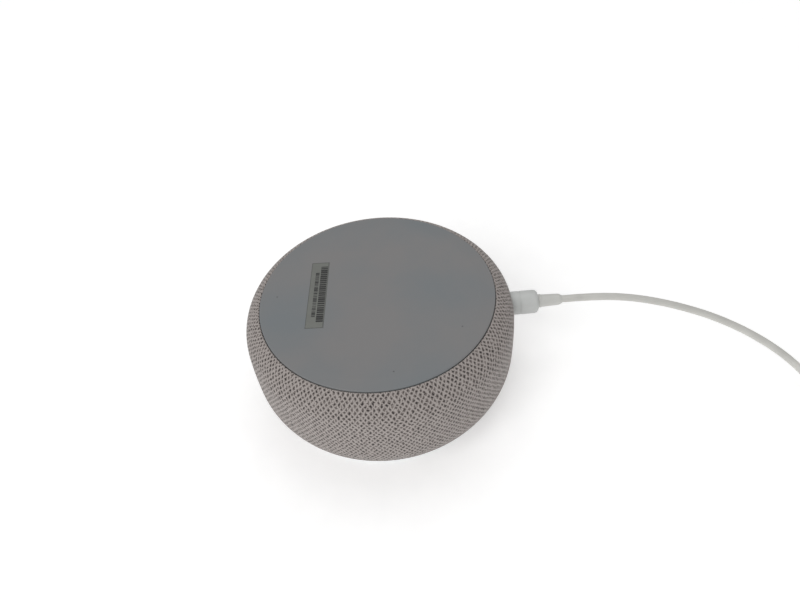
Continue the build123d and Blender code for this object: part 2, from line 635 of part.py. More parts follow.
def make_speaker_basket():
    flange_inner = ROLL_CENTRE + ROLL_RADIUS - ROLL_THICKNESS
    basket = turned([
        (flange_inner, DRIVER_Z), (DRIVER_RADIUS, DRIVER_Z), (DRIVER_RADIUS, GASKET_Z),
        (DRIVER_RADIUS - 1.5, GASKET_Z), (BASKET_BACK, SPIDER_Z + 2.2), (BASKET_BACK, FRONT_PLATE_Z),
        (COIL_RADIUS + 1.6, FRONT_PLATE_Z), (COIL_RADIUS + 1.6, FRONT_PLATE_Z - 1.0),
        (BASKET_LEDGE - 0.4, FRONT_PLATE_Z - 1.0), (BASKET_LEDGE - 0.4, SPIDER_Z + 0.6),
        (BASKET_BACK + 0.6, SPIDER_Z + 0.6), (BASKET_BACK + 0.6, SPIDER_Z),
        (flange_inner, GASKET_Z + 0.2),
    ])
    windows = []
    for angle in BOSS_ANGLES:
        place = around(BASKET_BACK + 3.5, angle)
        windows.append(block((6.0, 9.0, 3.0), SPIDER_Z - 4.0, place, angle))
    basket -= windows
    return basket + driver_ears(DRIVER_Z, GASKET_Z)


def make_speaker_gasket():
    gasket = ring(DRIVER_RADIUS, DRIVER_RADIUS - 1.0, GASKET_Z, BAFFLE_Z)
    return gasket + driver_ears(GASKET_Z, BAFFLE_Z)


def make_front_plate():
    bore = COIL_RADIUS + COIL_CLEARANCE
    return ring(MAGNET_RADIUS - 1.0, bore, FRONT_PLATE_Z, MAGNET_Z)


def make_magnet():
    return ring(MAGNET_RADIUS, COIL_RADIUS + 1.6, MAGNET_Z, YOKE_Z)


def make_yoke():
    pole = COIL_RADIUS - COIL_THICKNESS - COIL_CLEARANCE
    return disc(MAGNET_RADIUS - 0.5, YOKE_Z, YOKE_Z + YOKE_THICKNESS) + disc(pole, FRONT_PLATE_Z, YOKE_Z)


VOICE_COIL_Z = DRIVER_Z + 3.2


def make_voice_coil():
    return ring(COIL_RADIUS, COIL_RADIUS - COIL_THICKNESS, VOICE_COIL_Z, MAGNET_Z)


def make_cone():
    """Shallow paper cone from the voice coil out to the surround."""
    neck = COIL_RADIUS + BOND_GAP / 5
    return turned([
        (neck, VOICE_COIL_Z + 0.3), (neck, VOICE_COIL_Z + 1.1),
        (CONE_EDGE, DRIVER_Z + 0.15), (CONE_EDGE, DRIVER_Z - CONE_THICKNESS),
    ])


def make_dust_cap():
    """Thin dome over the voice coil's open end."""
    inner = dome(COIL_RADIUS - COIL_THICKNESS, CAP_THICKNESS - CAP_HEIGHT, VOICE_COIL_Z)
    return dome(COIL_RADIUS, -CAP_HEIGHT, VOICE_COIL_Z) - inner


def make_surround():
    """Half roll of soft rubber between cone and basket."""
    outer, inner = ROLL_RADIUS, ROLL_RADIUS - ROLL_THICKNESS
    arcs = []
    for radius in (outer, inner):
        ends = [(ROLL_CENTRE - radius, 0, DRIVER_Z), (ROLL_CENTRE, 0, DRIVER_Z - radius)]
        arcs.append(ThreePointArc(*ends, (ROLL_CENTRE + radius, 0, DRIVER_Z)))
    left = Line(arcs[0] @ 0, arcs[1] @ 0)
    right = Line(arcs[0] @ 1, arcs[1] @ 1)
    return revolve(make_face(arcs + [left, right]), Axis.Z)


def make_spider():
    """Corrugated ring that centres the voice coil."""
    inner, outer = COIL_RADIUS + BOND_GAP / 5, BASKET_BACK + 0.2
    waves = 3
    steps = [inner + (outer - inner) * part / (2 * waves) for part in range(2 * waves + 1)]
    heights = [SPIDER_Z + (0.25 if part % 2 else 0.0) for part in range(2 * waves + 1)]
    under = list(zip(steps, heights))
    over = [(radius, height + 0.35) for radius, height in reversed(under)]
    return turned(under + over)


def make_speaker_wires():
    """Two leads from the driver's terminals, up through the cup to the main board."""
    wires = []
    for side in (-1, 1):
        x = side * WIRE_SPACING / 2
        start = (x, BASKET_BACK + 0.2 + WIRE_RADIUS, FRONT_PLATE_Z - 1.0)
        route = [start, (x, WIRE_Y - 6.0, FRONT_PLATE_Z + 0.5), (x, WIRE_Y, CUP_TOP - 5.0),
                 (x, WIRE_Y, MAIN_BOARD_Z)]
        path = FilletPolyline(*route, radius=2.0)
        section = Plane(origin=path @ 0, z_dir=path % 0) * Circle(WIRE_RADIUS)
        wires.append(sweep(section, path))
    return group(wires)


def make_grommets():
    rings = []
    for angle in POST_ANGLES:
        place = around(POST_CIRCLE, angle)
        rings.append(ring(POST_RADIUS + 2.0, POST_RADIUS + BOND_GAP, GROMMET_Z, BAFFLE_Z, place))
    return group(rings)


def make_foam():
    """Pad that presses the module down on its grommets."""
    return ring(CUP_RADIUS - 8.0, CUP_RADIUS - 16.0, CUP_TOP, MAIN_BOARD_Z)


# ================================================================ main board and what is on it
MAIN_BOARD_RADIUS = wall_radius(MAIN_BOARD_TOP, GRILLE_INNER_INSET) - MAIN_BOARD_EDGE_GAP
LIP_INSET = GRILLE_INNER_INSET + BOND_GAP + BEZEL_LIP_THICKNESS
SOCKET_FEET = (MAIN_BOARD_Z - POWER_BODY[2], MAIN_BOARD_Z)
LIP_INNER_RADIUS = min(wall_radius(height, LIP_INSET) for height in SOCKET_FEET)


def face_x(radius, reach):
    """Place along X where a flat face that reaches this far sideways meets a round wall."""
    return math.sqrt(radius ** 2 - reach ** 2)


POWER_MOUTH_X = face_x(LIP_INNER_RADIUS, POWER_PORT_Y + POWER_BODY[1] / 2) - EASY_GAP
AUDIO_BODY_X = face_x(LIP_INNER_RADIUS, AUDIO_PORT_Y + AUDIO_BODY[1] / 2) - EASY_GAP
AUDIO_FACE_X = face_x(wall_radius(PORT_Z), AUDIO_PORT_Y + AUDIO_NOSE_RADIUS) - EASY_GAP


def make_main_board():
    board = disc(MAIN_BOARD_RADIUS, MAIN_BOARD_Z, MAIN_BOARD_TOP)
    for angle in POST_ANGLES:
        board -= disc(SCREW_RADIUS + SLIP_GAP, MAIN_BOARD_Z, MAIN_BOARD_TOP, around(POST_CIRCLE, angle))
    return board


def make_power_socket():
    length, width, height = POWER_BODY
    middle = POWER_MOUTH_X - length / 2
    body = block((length, width, height), MAIN_BOARD_Z - height, (middle, POWER_PORT_Y))
    depth = BARREL_LENGTH + 0.4
    bore = rod_x(BARREL_RADIUS + SLIP_GAP, POWER_MOUTH_X - depth, POWER_MOUTH_X, POWER_PORT_Y, PORT_Z)
    return body - bore


def make_power_pin():
    start = POWER_MOUTH_X - BARREL_LENGTH - 0.4
    pin = rod_x(BARREL_BORE_RADIUS - 0.07, start, POWER_MOUTH_X - 1.0, POWER_PORT_Y, PORT_Z)
    tip = pin.edges().filter_by(GeomType.CIRCLE).sort_by(Axis.X)[-1]
    return fillet(tip, 0.4)


def make_audio_socket():
    length, width, height = AUDIO_BODY
    place = (AUDIO_BODY_X - length / 2, AUDIO_PORT_Y)
    body = block((length, width, height), MAIN_BOARD_Z - height, place)
    body += rod_x(AUDIO_NOSE_RADIUS, AUDIO_BODY_X - 0.5, AUDIO_FACE_X, AUDIO_PORT_Y, PORT_Z)
    start = AUDIO_FACE_X - AUDIO_BORE_LENGTH
    return body - rod_x(AUDIO_BORE_RADIUS, start, AUDIO_FACE_X + 1.0, AUDIO_PORT_Y, PORT_Z)


SHIELDS = {(-12.0, 8.0): (22.0, 16.0), (14.0, -14.0): (14.0, 12.0)}   # centre: size


def make_shield_cans():
    cans = []
    for place, size in SHIELDS.items():
        can = block((*size, SHIELD_HEIGHT), MAIN_BOARD_TOP, place)
        hollow = block((size[0] - 0.6, size[1] - 0.6, SHIELD_HEIGHT - 0.3), MAIN_BOARD_TOP, place)
        cans.append(can - hollow)
    return group(cans)


def make_thermal_pads():
    low = MAIN_BOARD_TOP + SHIELD_HEIGHT
    pads = []
    for place, size in SHIELDS.items():
        pads.append(block((size[0] - 4.0, size[1] - 4.0, THERMAL_PAD_THICKNESS), low, place))
    return group(pads)


def make_power_components():
    """Inductors and a row of capacitors beside the power socket."""
    pieces = [block((6.0, 6.0, 1.8), MAIN_BOARD_TOP, (31.0, y)) for y in (-8.0, 1.0)]
    for index in range(3):
        pieces.append(disc(1.5, MAIN_BOARD_TOP, MAIN_BOARD_TOP + 1.8, (22.0, 2.0 + 5.0 * index)))
    return group(pieces)


def make_heat_sink():
    radius = wall_radius(BASE_Z, GRILLE_INNER_INSET) - 3.0
    plate = disc(radius, HEAT_SINK_Z, BASE_Z)
    for angle in POST_ANGLES:
        plate -= disc(SCREW_RADIUS + SLIP_GAP, HEAT_SINK_Z, BASE_Z, around(POST_CIRCLE, angle))
    return plate


ANTENNA_ANGLES = [115, 245]


def make_antennas():
    """Two printed aerials stuck to the inside of the grille."""
    strips = []
    for angle in ANTENNA_ANGLES:
        skin = shell(GRILLE_INNER_INSET + BOND_GAP, GRILLE_INNER_INSET + 0.45, WIDEST_Z, WIDEST_Z + 7.0)
        window = block((12.0, 24.0, 7.0), WIDEST_Z, around(BODY_RADIUS - 4, angle), angle)
        strips.append(skin & window)
    return group(strips)


# ================================================================ base
def make_base_housing():
    base = filled(GRILLE_INSET, BASE_Z, ADHESIVE_Z)
    seat = ADHESIVE_Z - SCREW_HEAD_HEIGHT - SLIP_GAP
    for angle in POST_ANGLES:
        place = around(POST_CIRCLE, angle)
        base -= disc(SCREW_HEAD_RADIUS + EASY_GAP, seat, ADHESIVE_Z, place)
        base -= disc(SCREW_RADIUS + SLIP_GAP, BASE_Z, seat, place)
    return base


def make_base_screws():
    seat = ADHESIVE_Z - SCREW_HEAD_HEIGHT - SLIP_GAP
    length = seat - MAIN_BOARD_Z + SCREW_GRIP
    size = (SCREW_RADIUS, SCREW_HEAD_RADIUS, SCREW_HEAD_HEIGHT)
    return group(screw(*size, seat, length, around(POST_CIRCLE, angle)) for angle in POST_ANGLES)


FOOT_RADIUS = wall_radius(FOOT_Z, FABRIC_THICKNESS) - BOND_GAP


def make_foot_adhesive():
    return ring(FOOT_RADIUS - 1.0, FOOT_RADIUS - 14.0, ADHESIVE_Z, FOOT_Z)


def make_rubber_foot():
    """Flat resting face whose outer band falls away a little to a rounded edge."""
    low_face = HEIGHT - FOOT_TAPER_DROP
    foot = turned([
        (0, FOOT_Z), (FOOT_RADIUS, FOOT_Z), (FOOT_RADIUS, low_face - FOOT_ROUND),
        (FOOT_RADIUS - FOOT_ROUND, low_face), (FOOT_RADIUS - FOOT_TAPER_WIDTH, HEIGHT), (0, HEIGHT),
    ])
    length, width, depth = LABEL_SIZE
    pocket = (length + 2 * BOND_GAP, width + 2 * BOND_GAP, depth)
    return foot - block(pocket, HEIGHT - depth, LABEL_CENTRE, LABEL_TURN)


def make_rating_label():
    """Sticker that lies flush in its pocket in the foot."""
    label = block(LABEL_SIZE, HEIGHT - LABEL_SIZE[2], LABEL_CENTRE, LABEL_TURN)
    return fillet(label.edges().filter_by(Axis.Z), 0.4)


# ================================================================ plug and cord
PLUG_FACE_X = POWER_MOUTH_X + EASY_GAP
HOUSING_END_X = BODY_RADIUS + PLUG_REACH
RELIEF_END_X = HOUSING_END_X + PLUG_RELIEF_LENGTH


def make_plug_barrel():
    start = PLUG_FACE_X - BARREL_LENGTH
    tube = rod_x(BARREL_RADIUS, start, PLUG_FACE_X, POWER_PORT_Y, PORT_Z)
    return tube - rod_x(BARREL_RADIUS - BARREL_WALL, start, PLUG_FACE_X, POWER_PORT_Y, PORT_Z)


def make_plug_insulator():
    start = PLUG_FACE_X - BARREL_LENGTH
    tube = rod_x(BARREL_RADIUS - BARREL_WALL, start, PLUG_FACE_X, POWER_PORT_Y, PORT_Z)
    return tube - rod_x(BARREL_BORE_RADIUS, start, PLUG_FACE_X, POWER_PORT_Y, PORT_Z)


def make_plug_housing():
    """Round grip with a soft outer shoulder and one fine line round it."""
    body = rod_x(PLUG_HOUSING_RADIUS, PLUG_FACE_X, HOUSING_END_X, POWER_PORT_Y, PORT_Z)
    body = fillet(body.edges().filter_by(GeomType.CIRCLE).sort_by(Axis.X)[-1], PLUG_END_ROUND)
    body = fillet(body.edges().filter_by(GeomType.CIRCLE).sort_by(Axis.X)[0], 0.6)
    reach, width, depth = PLUG_GRIP_LINE
    start = BODY_RADIUS + reach
    line = rod_x(PLUG_HOUSING_RADIUS + 1.0, start, start + width, POWER_PORT_Y, PORT_Z)
    return body - (line - rod_x(PLUG_HOUSING_RADIUS - depth, start, start + width, POWER_PORT_Y, PORT_Z))


RELIEF_MOUTH = CORD_DIAMETER / 2 + SLIP_GAP


def make_plug_relief():
    """Smooth boot: a short collar, a slight taper, and a nose down to the cord."""
    collar_radius, collar_length = PLUG_COLLAR
    boot = turned([
        (0, 0), (collar_radius, 0), (collar_radius, collar_length), (PLUG_RELIEF_RADIUS, collar_length + 0.2),
        (PLUG_RELIEF_END_RADIUS, PLUG_RELIEF_LENGTH - RELIEF_NOSE), (RELIEF_MOUTH, PLUG_RELIEF_LENGTH),
        (0, PLUG_RELIEF_LENGTH),
    ])
    return Pos(HOUSING_END_X, POWER_PORT_Y, PORT_Z) * Rot(0, 90, 0) * boot


def arc_radii(points):
    """One radius for each corner: as large as the two runs beside it allow."""
    radii = []
    for before, corner, after in zip(points, points[1:], points[2:]):
        first = Vector(*corner) - Vector(*before)
        second = Vector(*after) - Vector(*corner)
        shorter = min(first.length, second.length)
        turn = math.radians(first.get_angle(second))
        radii.append(CORD_ARC_SHARE * shorter / math.tan(turn / 2))
    return radii


def cord_tube(name, points):
    """Round tube along straight runs joined by tangent arcs."""
    radii = arc_radii(points)
    path = FilletPolyline(*points, radius=radii)
    section = Plane(origin=path @ 0, z_dir=path % 0) * Circle(CORD_DIAMETER / 2)
    tube = sweep(section, path)
    expected = math.pi * CORD_DIAMETER ** 2 / 4 * path.length
    print(name, "arc radii", [round(radius, 1) for radius in radii])
    print(name, "length", round(path.length, 1), "volume", round(tube.volume, 1), "of", round(expected, 1))
    return tube


def make_cord_coil():
    """Closed ring that the wound turns fill."""
    width = COIL_TURNS_WIDE * CORD_DIAMETER
    height = COIL_TURNS_HIGH * CORD_DIAMETER
    outer, inner = COIL_MIDDLE_RADIUS + width / 2, COIL_MIDDLE_RADIUS - width / 2
    coil = ring(outer, inner, 0, height, COIL_CENTRE)
    return fillet(coil.edges().filter_by(GeomType.CIRCLE), CORD_DIAMETER * 0.4)


# ================================================================ mains adapter
RELIEF_X, RELIEF_Y, RELIEF_Z = TAIL_POINTS[-1]
ADAPTER_SIDE_Y = RELIEF_Y + ADAPTER_RELIEF_LENGTH
ADAPTER_CENTRE = (RELIEF_X - 2.6, ADAPTER_SIDE_Y + ADAPTER_SIZE[1] / 2)
ADAPTER_TOP = ADAPTER_CASE_HEIGHT + ADAPTER_COVER_HEIGHT


def rounded_block(size, corner, low, high):
    outline = RectangleRounded(size[0], size[1], corner)
    return Pos(*ADAPTER_CENTRE, low) * extrude(outline, high - low)


def make_adapter_case():
    """Outer half of the adapter: an open box whose flat face lies on the floor."""
    case = rounded_block(ADAPTER_SIZE, ADAPTER_CORNER, 0, ADAPTER_CASE_HEIGHT)
    case = fillet(case.faces().sort_by(Axis.Z)[0].edges(), ADAPTER_EDGE)
    room = [side - 2 * ADAPTER_WALL for side in ADAPTER_SIZE]
    case -= rounded_block(room, ADAPTER_CORNER - ADAPTER_WALL, ADAPTER_WALL, ADAPTER_CASE_HEIGHT)
    return case


def make_adapter_cover():
    """Inner half with the slots that hold the blades."""
    cover = rounded_block(ADAPTER_SIZE, ADAPTER_CORNER, ADAPTER_CASE_HEIGHT, ADAPTER_TOP)
    cover = fillet(cover.faces().sort_by(Axis.Z)[-1].edges(), ADAPTER_EDGE)
    room = [side - 2 * ADAPTER_WALL for side in ADAPTER_SIZE]
    ceiling = ADAPTER_TOP - ADAPTER_WALL
    cover -= rounded_block(room, ADAPTER_CORNER - ADAPTER_WALL, ADAPTER_CASE_HEIGHT, ceiling)
    for place in blade_places():
        cover -= block((*BLADE_SIZE, ADAPTER_WALL), ceiling, place)
    return cover


def blade_places():
    x, y = ADAPTER_CENTRE
    return [(x - BLADE_SPACING / 2, y), (x + BLADE_SPACING / 2, y)]


def make_adapter_blades():
    low = ADAPTER_TOP - ADAPTER_WALL - BLADE_ROOT
    blades = []
    for place in blade_places():
        blade = block((*BLADE_SIZE, ADAPTER_TOP + BLADE_LENGTH - low), low, place)
        tip = blade.faces().sort_by(Axis.Z)[-1].edges().filter_by(Axis.Y)
        blades.append(chamfer(tip, 0.45))
    return group(blades)


def make_adapter_relief():
    """Tapered boot with shallow grooves that let it bend."""
    outline = [(0, 0), (ADAPTER_RELIEF_RADIUS, 0)]
    for index in range(ADAPTER_RELIEF_GROOVES):
        share = (index + 1) / (ADAPTER_RELIEF_GROOVES + 1.5)
        radius = ADAPTER_RELIEF_RADIUS + (PLUG_RELIEF_END_RADIUS - ADAPTER_RELIEF_RADIUS) * share
        height = ADAPTER_RELIEF_LENGTH * share
        outline += [(radius, height - 0.35), (radius - 0.3, height - 0.25)]
        outline += [(radius - 0.3, height + 0.25), (radius, height + 0.35)]
    outline += [(PLUG_RELIEF_END_RADIUS, ADAPTER_RELIEF_LENGTH - RELIEF_NOSE)]
    outline += [(RELIEF_MOUTH, ADAPTER_RELIEF_LENGTH), (0, ADAPTER_RELIEF_LENGTH)]
    return Pos(RELIEF_X, ADAPTER_SIDE_Y, RELIEF_Z) * Rot(90, 0, 0) * turned(outline)


def make_adapter_circuit():
    """Converter board with its transformer, standing on the case's floor."""
    x, y = ADAPTER_CENTRE
    board = block((34.0, 34.0, 1.6), ADAPTER_WALL, (x, y))
    board += block((15.0, 17.0, 13.0), ADAPTER_WALL + 1.6, (x - 7.0, y + 4.0))
    return board + disc(4.0, ADAPTER_WALL + 1.6, ADAPTER_WALL + 16.0, (x + 9.0, y - 8.0))


# ================================================================ the whole set
os.makedirs("parts", exist_ok=True)

save("fabric_sleeve", make_fabric_sleeve())
save("grille_core", make_grille_core())
save("port_bezel", make_port_bezel())
save("top_plate", make_top_plate())
save("light_ring", make_light_ring())
for key, key_angle in BUTTON_ANGLES.items():
    save(key + "_button", make_button(key_angle, SYMBOLS[key]))
save("tact_switches", make_tact_switches())
save("mic_board", make_mic_board())
save("ring_leds", make_ring_leds())
save("microphones", make_microphones())
save("mic_gaskets", make_mic_gaskets())
save("ribbon_connectors", make_ribbon_connectors())
save("ribbon_cable", make_ribbon_cable())
save("chassis", make_chassis())
save("top_screws", make_top_screws())
save("enclosure_baffle", make_enclosure_baffle())
save("enclosure_cup", make_enclosure_cup())
save("enclosure_foam", make_foam())
save("module_screws", make_module_screws())
save("speaker_grommets", make_grommets())
save("speaker_basket", make_speaker_basket())
save("speaker_gasket", make_speaker_gasket())
save("speaker_front_plate", make_front_plate())
save("speaker_magnet", make_magnet())
save("speaker_yoke", make_yoke())
save("voice_coil", make_voice_coil())
save("speaker_cone", make_cone())
save("dust_cap", make_dust_cap())
save("speaker_surround", make_surround())
save("speaker_spider", make_spider())
save("speaker_wires", make_speaker_wires())
save("main_board", make_main_board())
save("dc_jack", make_power_socket())
save("dc_jack_pin", make_power_pin())
save("audio_jack", make_audio_socket())
save("shield_cans", make_shield_cans())
save("thermal_pads", make_thermal_pads())
save("power_components", make_power_components())
save("heat_sink", make_heat_sink())
save("antennas", make_antennas())
save("base_housing", make_base_housing())
save("base_screws", make_base_screws())
save("foot_adhesive", make_foot_adhesive())
save("rubber_foot", make_rubber_foot())
save("rating_label", make_rating_label())
save("plug_barrel", make_plug_barrel())
save("plug_insulator", make_plug_insulator())
save("plug_housing", make_plug_housing())
save("plug_strain_relief", make_plug_relief())
save("power_cord", cord_tube("power_cord", CORD_POINTS))
save("cord_coil", make_cord_coil())
save("cord_tail", cord_tube("cord_tail", TAIL_POINTS))
save("adapter_case", make_adapter_case())
save("adapter_cover", make_adapter_cover())
save("adapter_blades", make_adapter_blades())
save("adapter_strain_relief", make_adapter_relief())
save("adapter_circuit", make_adapter_circuit())
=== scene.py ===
import math

import bmesh
import bpy
import numpy as np
from mathutils import Matrix, Vector


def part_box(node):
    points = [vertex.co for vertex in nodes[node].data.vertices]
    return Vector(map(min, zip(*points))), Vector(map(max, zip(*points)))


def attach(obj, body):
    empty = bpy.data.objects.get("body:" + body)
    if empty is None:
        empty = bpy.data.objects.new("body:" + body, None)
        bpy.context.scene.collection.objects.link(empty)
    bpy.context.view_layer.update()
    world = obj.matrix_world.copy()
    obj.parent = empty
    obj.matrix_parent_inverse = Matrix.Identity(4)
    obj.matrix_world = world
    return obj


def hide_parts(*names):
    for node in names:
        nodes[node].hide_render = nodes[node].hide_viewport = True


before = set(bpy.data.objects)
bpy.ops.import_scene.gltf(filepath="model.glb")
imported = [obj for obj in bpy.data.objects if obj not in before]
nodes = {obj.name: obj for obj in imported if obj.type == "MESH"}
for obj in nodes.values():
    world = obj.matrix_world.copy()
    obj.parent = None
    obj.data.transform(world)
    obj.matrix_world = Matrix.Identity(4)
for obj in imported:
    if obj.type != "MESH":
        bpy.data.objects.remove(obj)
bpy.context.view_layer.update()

# ================================================================ top plate and keys
# The plate and its four keys are injection-moulded polycarbonate. The mould was spark-eroded to a satin
# grain, so the face scatters light softly, and the keys, touched often, are a little smoother.


def linear(code):
    """Turn an sRGB hex colour into linear red, green, blue and full cover."""
    shares = [int(code[start:start + 2], 16) / 255 for start in (1, 3, 5)]
    curved = [share / 12.92 if share <= 0.04045 else ((share + 0.055) / 1.055) ** 2.4 for share in shares]
    return curved + [1.0]


def add(tree, kind, inputs, **options):
    """Add one shader node: options are its own settings, inputs its values or what feeds them."""
    made = tree.nodes.new("ShaderNode" + kind)
    for name, value in options.items():
        setattr(made, name, value)
    for socket, value in inputs.items():
        if isinstance(value, bpy.types.NodeSocket):
            tree.links.new(value, made.inputs[socket])
        else:
            made.inputs[socket].default_value = value
    return made


def start_finish(name, colour, roughness, **values):
    """Open a material: its shader, and the place of each surface point in metres."""
    finish = bpy.data.materials.new(name)
    finish.use_nodes = True
    tree = finish.node_tree
    shader = tree.nodes["Principled BSDF"]
    shader.inputs["Base Color"].default_value = linear(colour)
    shader.inputs["Roughness"].default_value = roughness
    for socket, value in values.items():
        shader.inputs[socket.replace("_", " ")].default_value = value
    return finish, tree, shader, add(tree, "TexCoord", {}).outputs["Object"]


def every(millimetres):
    """Texture scale of a pattern that repeats about every so many millimetres."""
    return 1000.0 / millimetres


def bands_every(millimetres):
    """Scale of a wave texture, which draws twenty bands to a unit, for bands at a pitch."""
    return every(millimetres) / 20


def cloud(tree, place, size, first, second):
    """Colour that drifts between two shades over patches of a size in millimetres."""
    noise = add(tree, "TexNoise", {"Vector": place, "Scale": every(size), "Detail": 4.0})
    share = add(tree, "MapRange", {"Value": noise.outputs[0], "From Min": 0.35, "From Max": 0.65})
    drift = add(tree, "Mix", {0: share.outputs[0], 6: linear(first), 7: linear(second)}, data_type="RGBA")
    return drift.outputs[2]


def grain(tree, shader, place, size, depth):
    """Raised grain of a size and depth in millimetres."""
    noise = add(tree, "TexNoise", {"Vector": place, "Scale": every(size), "Detail": 2.0})
    bump = add(tree, "Bump", {"Height": noise.outputs[0], "Distance": depth / 1000, "Strength": 1.0})
    tree.links.new(bump.outputs[0], shader.inputs["Normal"])
    return bump


def moulded(name, colour, shade, roughness, size, depth, **values):
    """Moulded plastic or rubber: a slight drift in colour and a fine grain from the mould."""
    finish, tree, shader, place = start_finish(name, colour, roughness, **values)
    tree.links.new(cloud(tree, place, 9.0, colour, shade), shader.inputs["Base Color"])
    grain(tree, shader, place, size, depth)
    return finish


def dress(finish, *names):
    """Give CAD pieces their material."""
    for name in names:
        for place in nodes[name].material_slots:
            place.material = finish


dress(moulded("satin_polycarbonate", "#c6c4bf", "#bdbbb6", 0.48, 0.35, 0.02), "top_plate")
dress(moulded("key_polycarbonate", "#d2d0cb", "#c9c7c2", 0.38, 0.3, 0.008), "volume_up_button",
      "action_button", "volume_down_button", "mic_mute_button")

# ================================================================ light ring
# One clear acrylic moulding carries the lamps' light to the edge of the top. Its face is frosted, which
# makes it milky when the lamps are off.
ring_finish, ring_tree, ring_shader, ring_place = start_finish(
    "frosted_acrylic", "#dfe4e6", 0.42, Subsurface_Weight=0.35, Subsurface_Scale=0.002, IOR=1.49)
ring_shade = cloud(ring_tree, ring_place, 6.0, "#e3e8ea", "#d5dbde")
ring_tree.links.new(ring_shade, ring_shader.inputs["Base Color"])
grain(ring_tree, ring_shader, ring_place, 0.4, 0.012)
dress(ring_finish, "light_ring")

# ================================================================ microphone and lamp board
# A glass-fibre board under solder resist carries the switches, lamps and microphones. The resist is a thin
# satin lacquer over the copper tracks, which show through as lighter lines.


def circuit_board(name, resist, track, pitch):
    """Solder resist over copper tracks that run in square steps at a pitch in millimetres."""
    finish, tree, shader, place = start_finish(name, resist, 0.35, Coat_Weight=0.3, Coat_Roughness=0.2)
    cells = add(tree, "TexVoronoi", {"Vector": place, "Scale": every(pitch), "Randomness": 0.85},
                distance="CHEBYCHEV", feature="DISTANCE_TO_EDGE")
    edge = add(tree, "MapRange", {"Value": cells.outputs[0], "From Min": 0.03, "From Max": 0.09})
    colour = add(tree, "Mix", {0: edge.outputs[0], 6: linear(track), 7: linear(resist)}, data_type="RGBA")
    tree.links.new(colour.outputs[2], shader.inputs["Base Color"])
    bump = add(tree, "Bump", {"Height": edge.outputs[0], "Distance": 0.00004}, invert=True)
    tree.links.new(bump.outputs[0], shader.inputs["Normal"])
    return finish


def metal(name, colour, roughness, size, spread):
    """Plated or bare metal: fine grain of a size in millimetres that varies the gloss."""
    finish, tree, shader, place = start_finish(name, colour, roughness, Metallic=1.0)
    noise = add(tree, "TexNoise", {"Vector": place, "Scale": every(size), "Detail": 3.0})
    gloss = add(tree, "MapRange", {"Value": noise.outputs[0], "To Min": roughness - spread,
                                   "To Max": roughness + spread})
    tree.links.new(gloss.outputs[0], shader.inputs["Roughness"])
    grain(tree, shader, place, size, 0.004)
    return finish


dress(circuit_board("green_solder_resist", "#1f4f3a", "#3f7a58", 1.6), "mic_board")
dress(moulded("black_switch_nylon", "#1b1b1c", "#232324", 0.5, 0.2, 0.01), "tact_switches")
dress(moulded("white_lamp_epoxy", "#ece9d8", "#e3dfc2", 0.35, 0.25, 0.01), "ring_leds")
dress(metal("tinned_steel_cans", "#b9bcbd", 0.32, 0.4, 0.08), "microphones")
dress(moulded("black_silicone_gasket", "#2a2a2b", "#323233", 0.7, 0.25, 0.015), "mic_gaskets")
dress(moulded("ivory_connector_nylon", "#d8cfb6", "#cfc5ab", 0.5, 0.25, 0.01), "ribbon_connectors")

# ================================================================ ribbon cable
# Flat copper conductors between two polyimide films. The film is amber and the copper shows as brighter
# lines along it.
ribbon_pitch = 1.0
ribbon_finish, ribbon_tree, ribbon_shader, ribbon_place = start_finish("polyimide_ribbon", "#b26a1c", 0.3)
turned = add(ribbon_tree, "Mapping", {"Vector": ribbon_place, "Rotation": (0, 0, math.radians(-60))})
lines = add(ribbon_tree, "TexWave", {"Vector": turned.outputs[0], "Scale": bands_every(ribbon_pitch)},
            bands_direction="X", wave_type="BANDS")
ribbon_colour = add(ribbon_tree, "Mix", {0: lines.outputs[0], 6: linear("#9a5312"), 7: linear("#c98a3a")},
                    data_type="RGBA")
ribbon_tree.links.new(ribbon_colour.outputs[2], ribbon_shader.inputs["Base Color"])
dress(ribbon_finish, "ribbon_cable")

# ================================================================ chassis, baffle and cup
# The inner frame and the loudspeaker's box are black ABS with a coarse sprayed-looking mould grain, held
# by zinc-plated screws.
black_abs = moulded("black_abs", "#1c1d1e", "#232425", 0.55, 0.5, 0.03)
dress(black_abs, "chassis", "enclosure_baffle", "enclosure_cup")
dress(metal("zinc_plated_screws", "#b7b9bb", 0.3, 0.25, 0.1), "top_screws", "module_screws")

# ================================================================ foam pad
# A ring of open-cell polyurethane foam presses the loudspeaker's box down. Its cells are about half a
# millimetre across.
foam_finish, foam_tree, foam_shader, foam_place = start_finish("open_cell_foam", "#5b5c5e", 0.95)
pores = add(foam_tree, "TexVoronoi", {"Vector": foam_place, "Scale": every(0.5)})
foam_colour = add(foam_tree, "Mix", {0: pores.outputs[0], 6: linear("#2d2e30"), 7: linear("#6f7073")},
                  data_type="RGBA")
foam_tree.links.new(foam_colour.outputs[2], foam_shader.inputs["Base Color"])
foam_bump = add(foam_tree, "Bump", {"Height": pores.outputs[0], "Distance": 0.0002})
foam_tree.links.new(foam_bump.outputs[0], foam_shader.inputs["Normal"])
dress(foam_finish, "enclosure_foam")

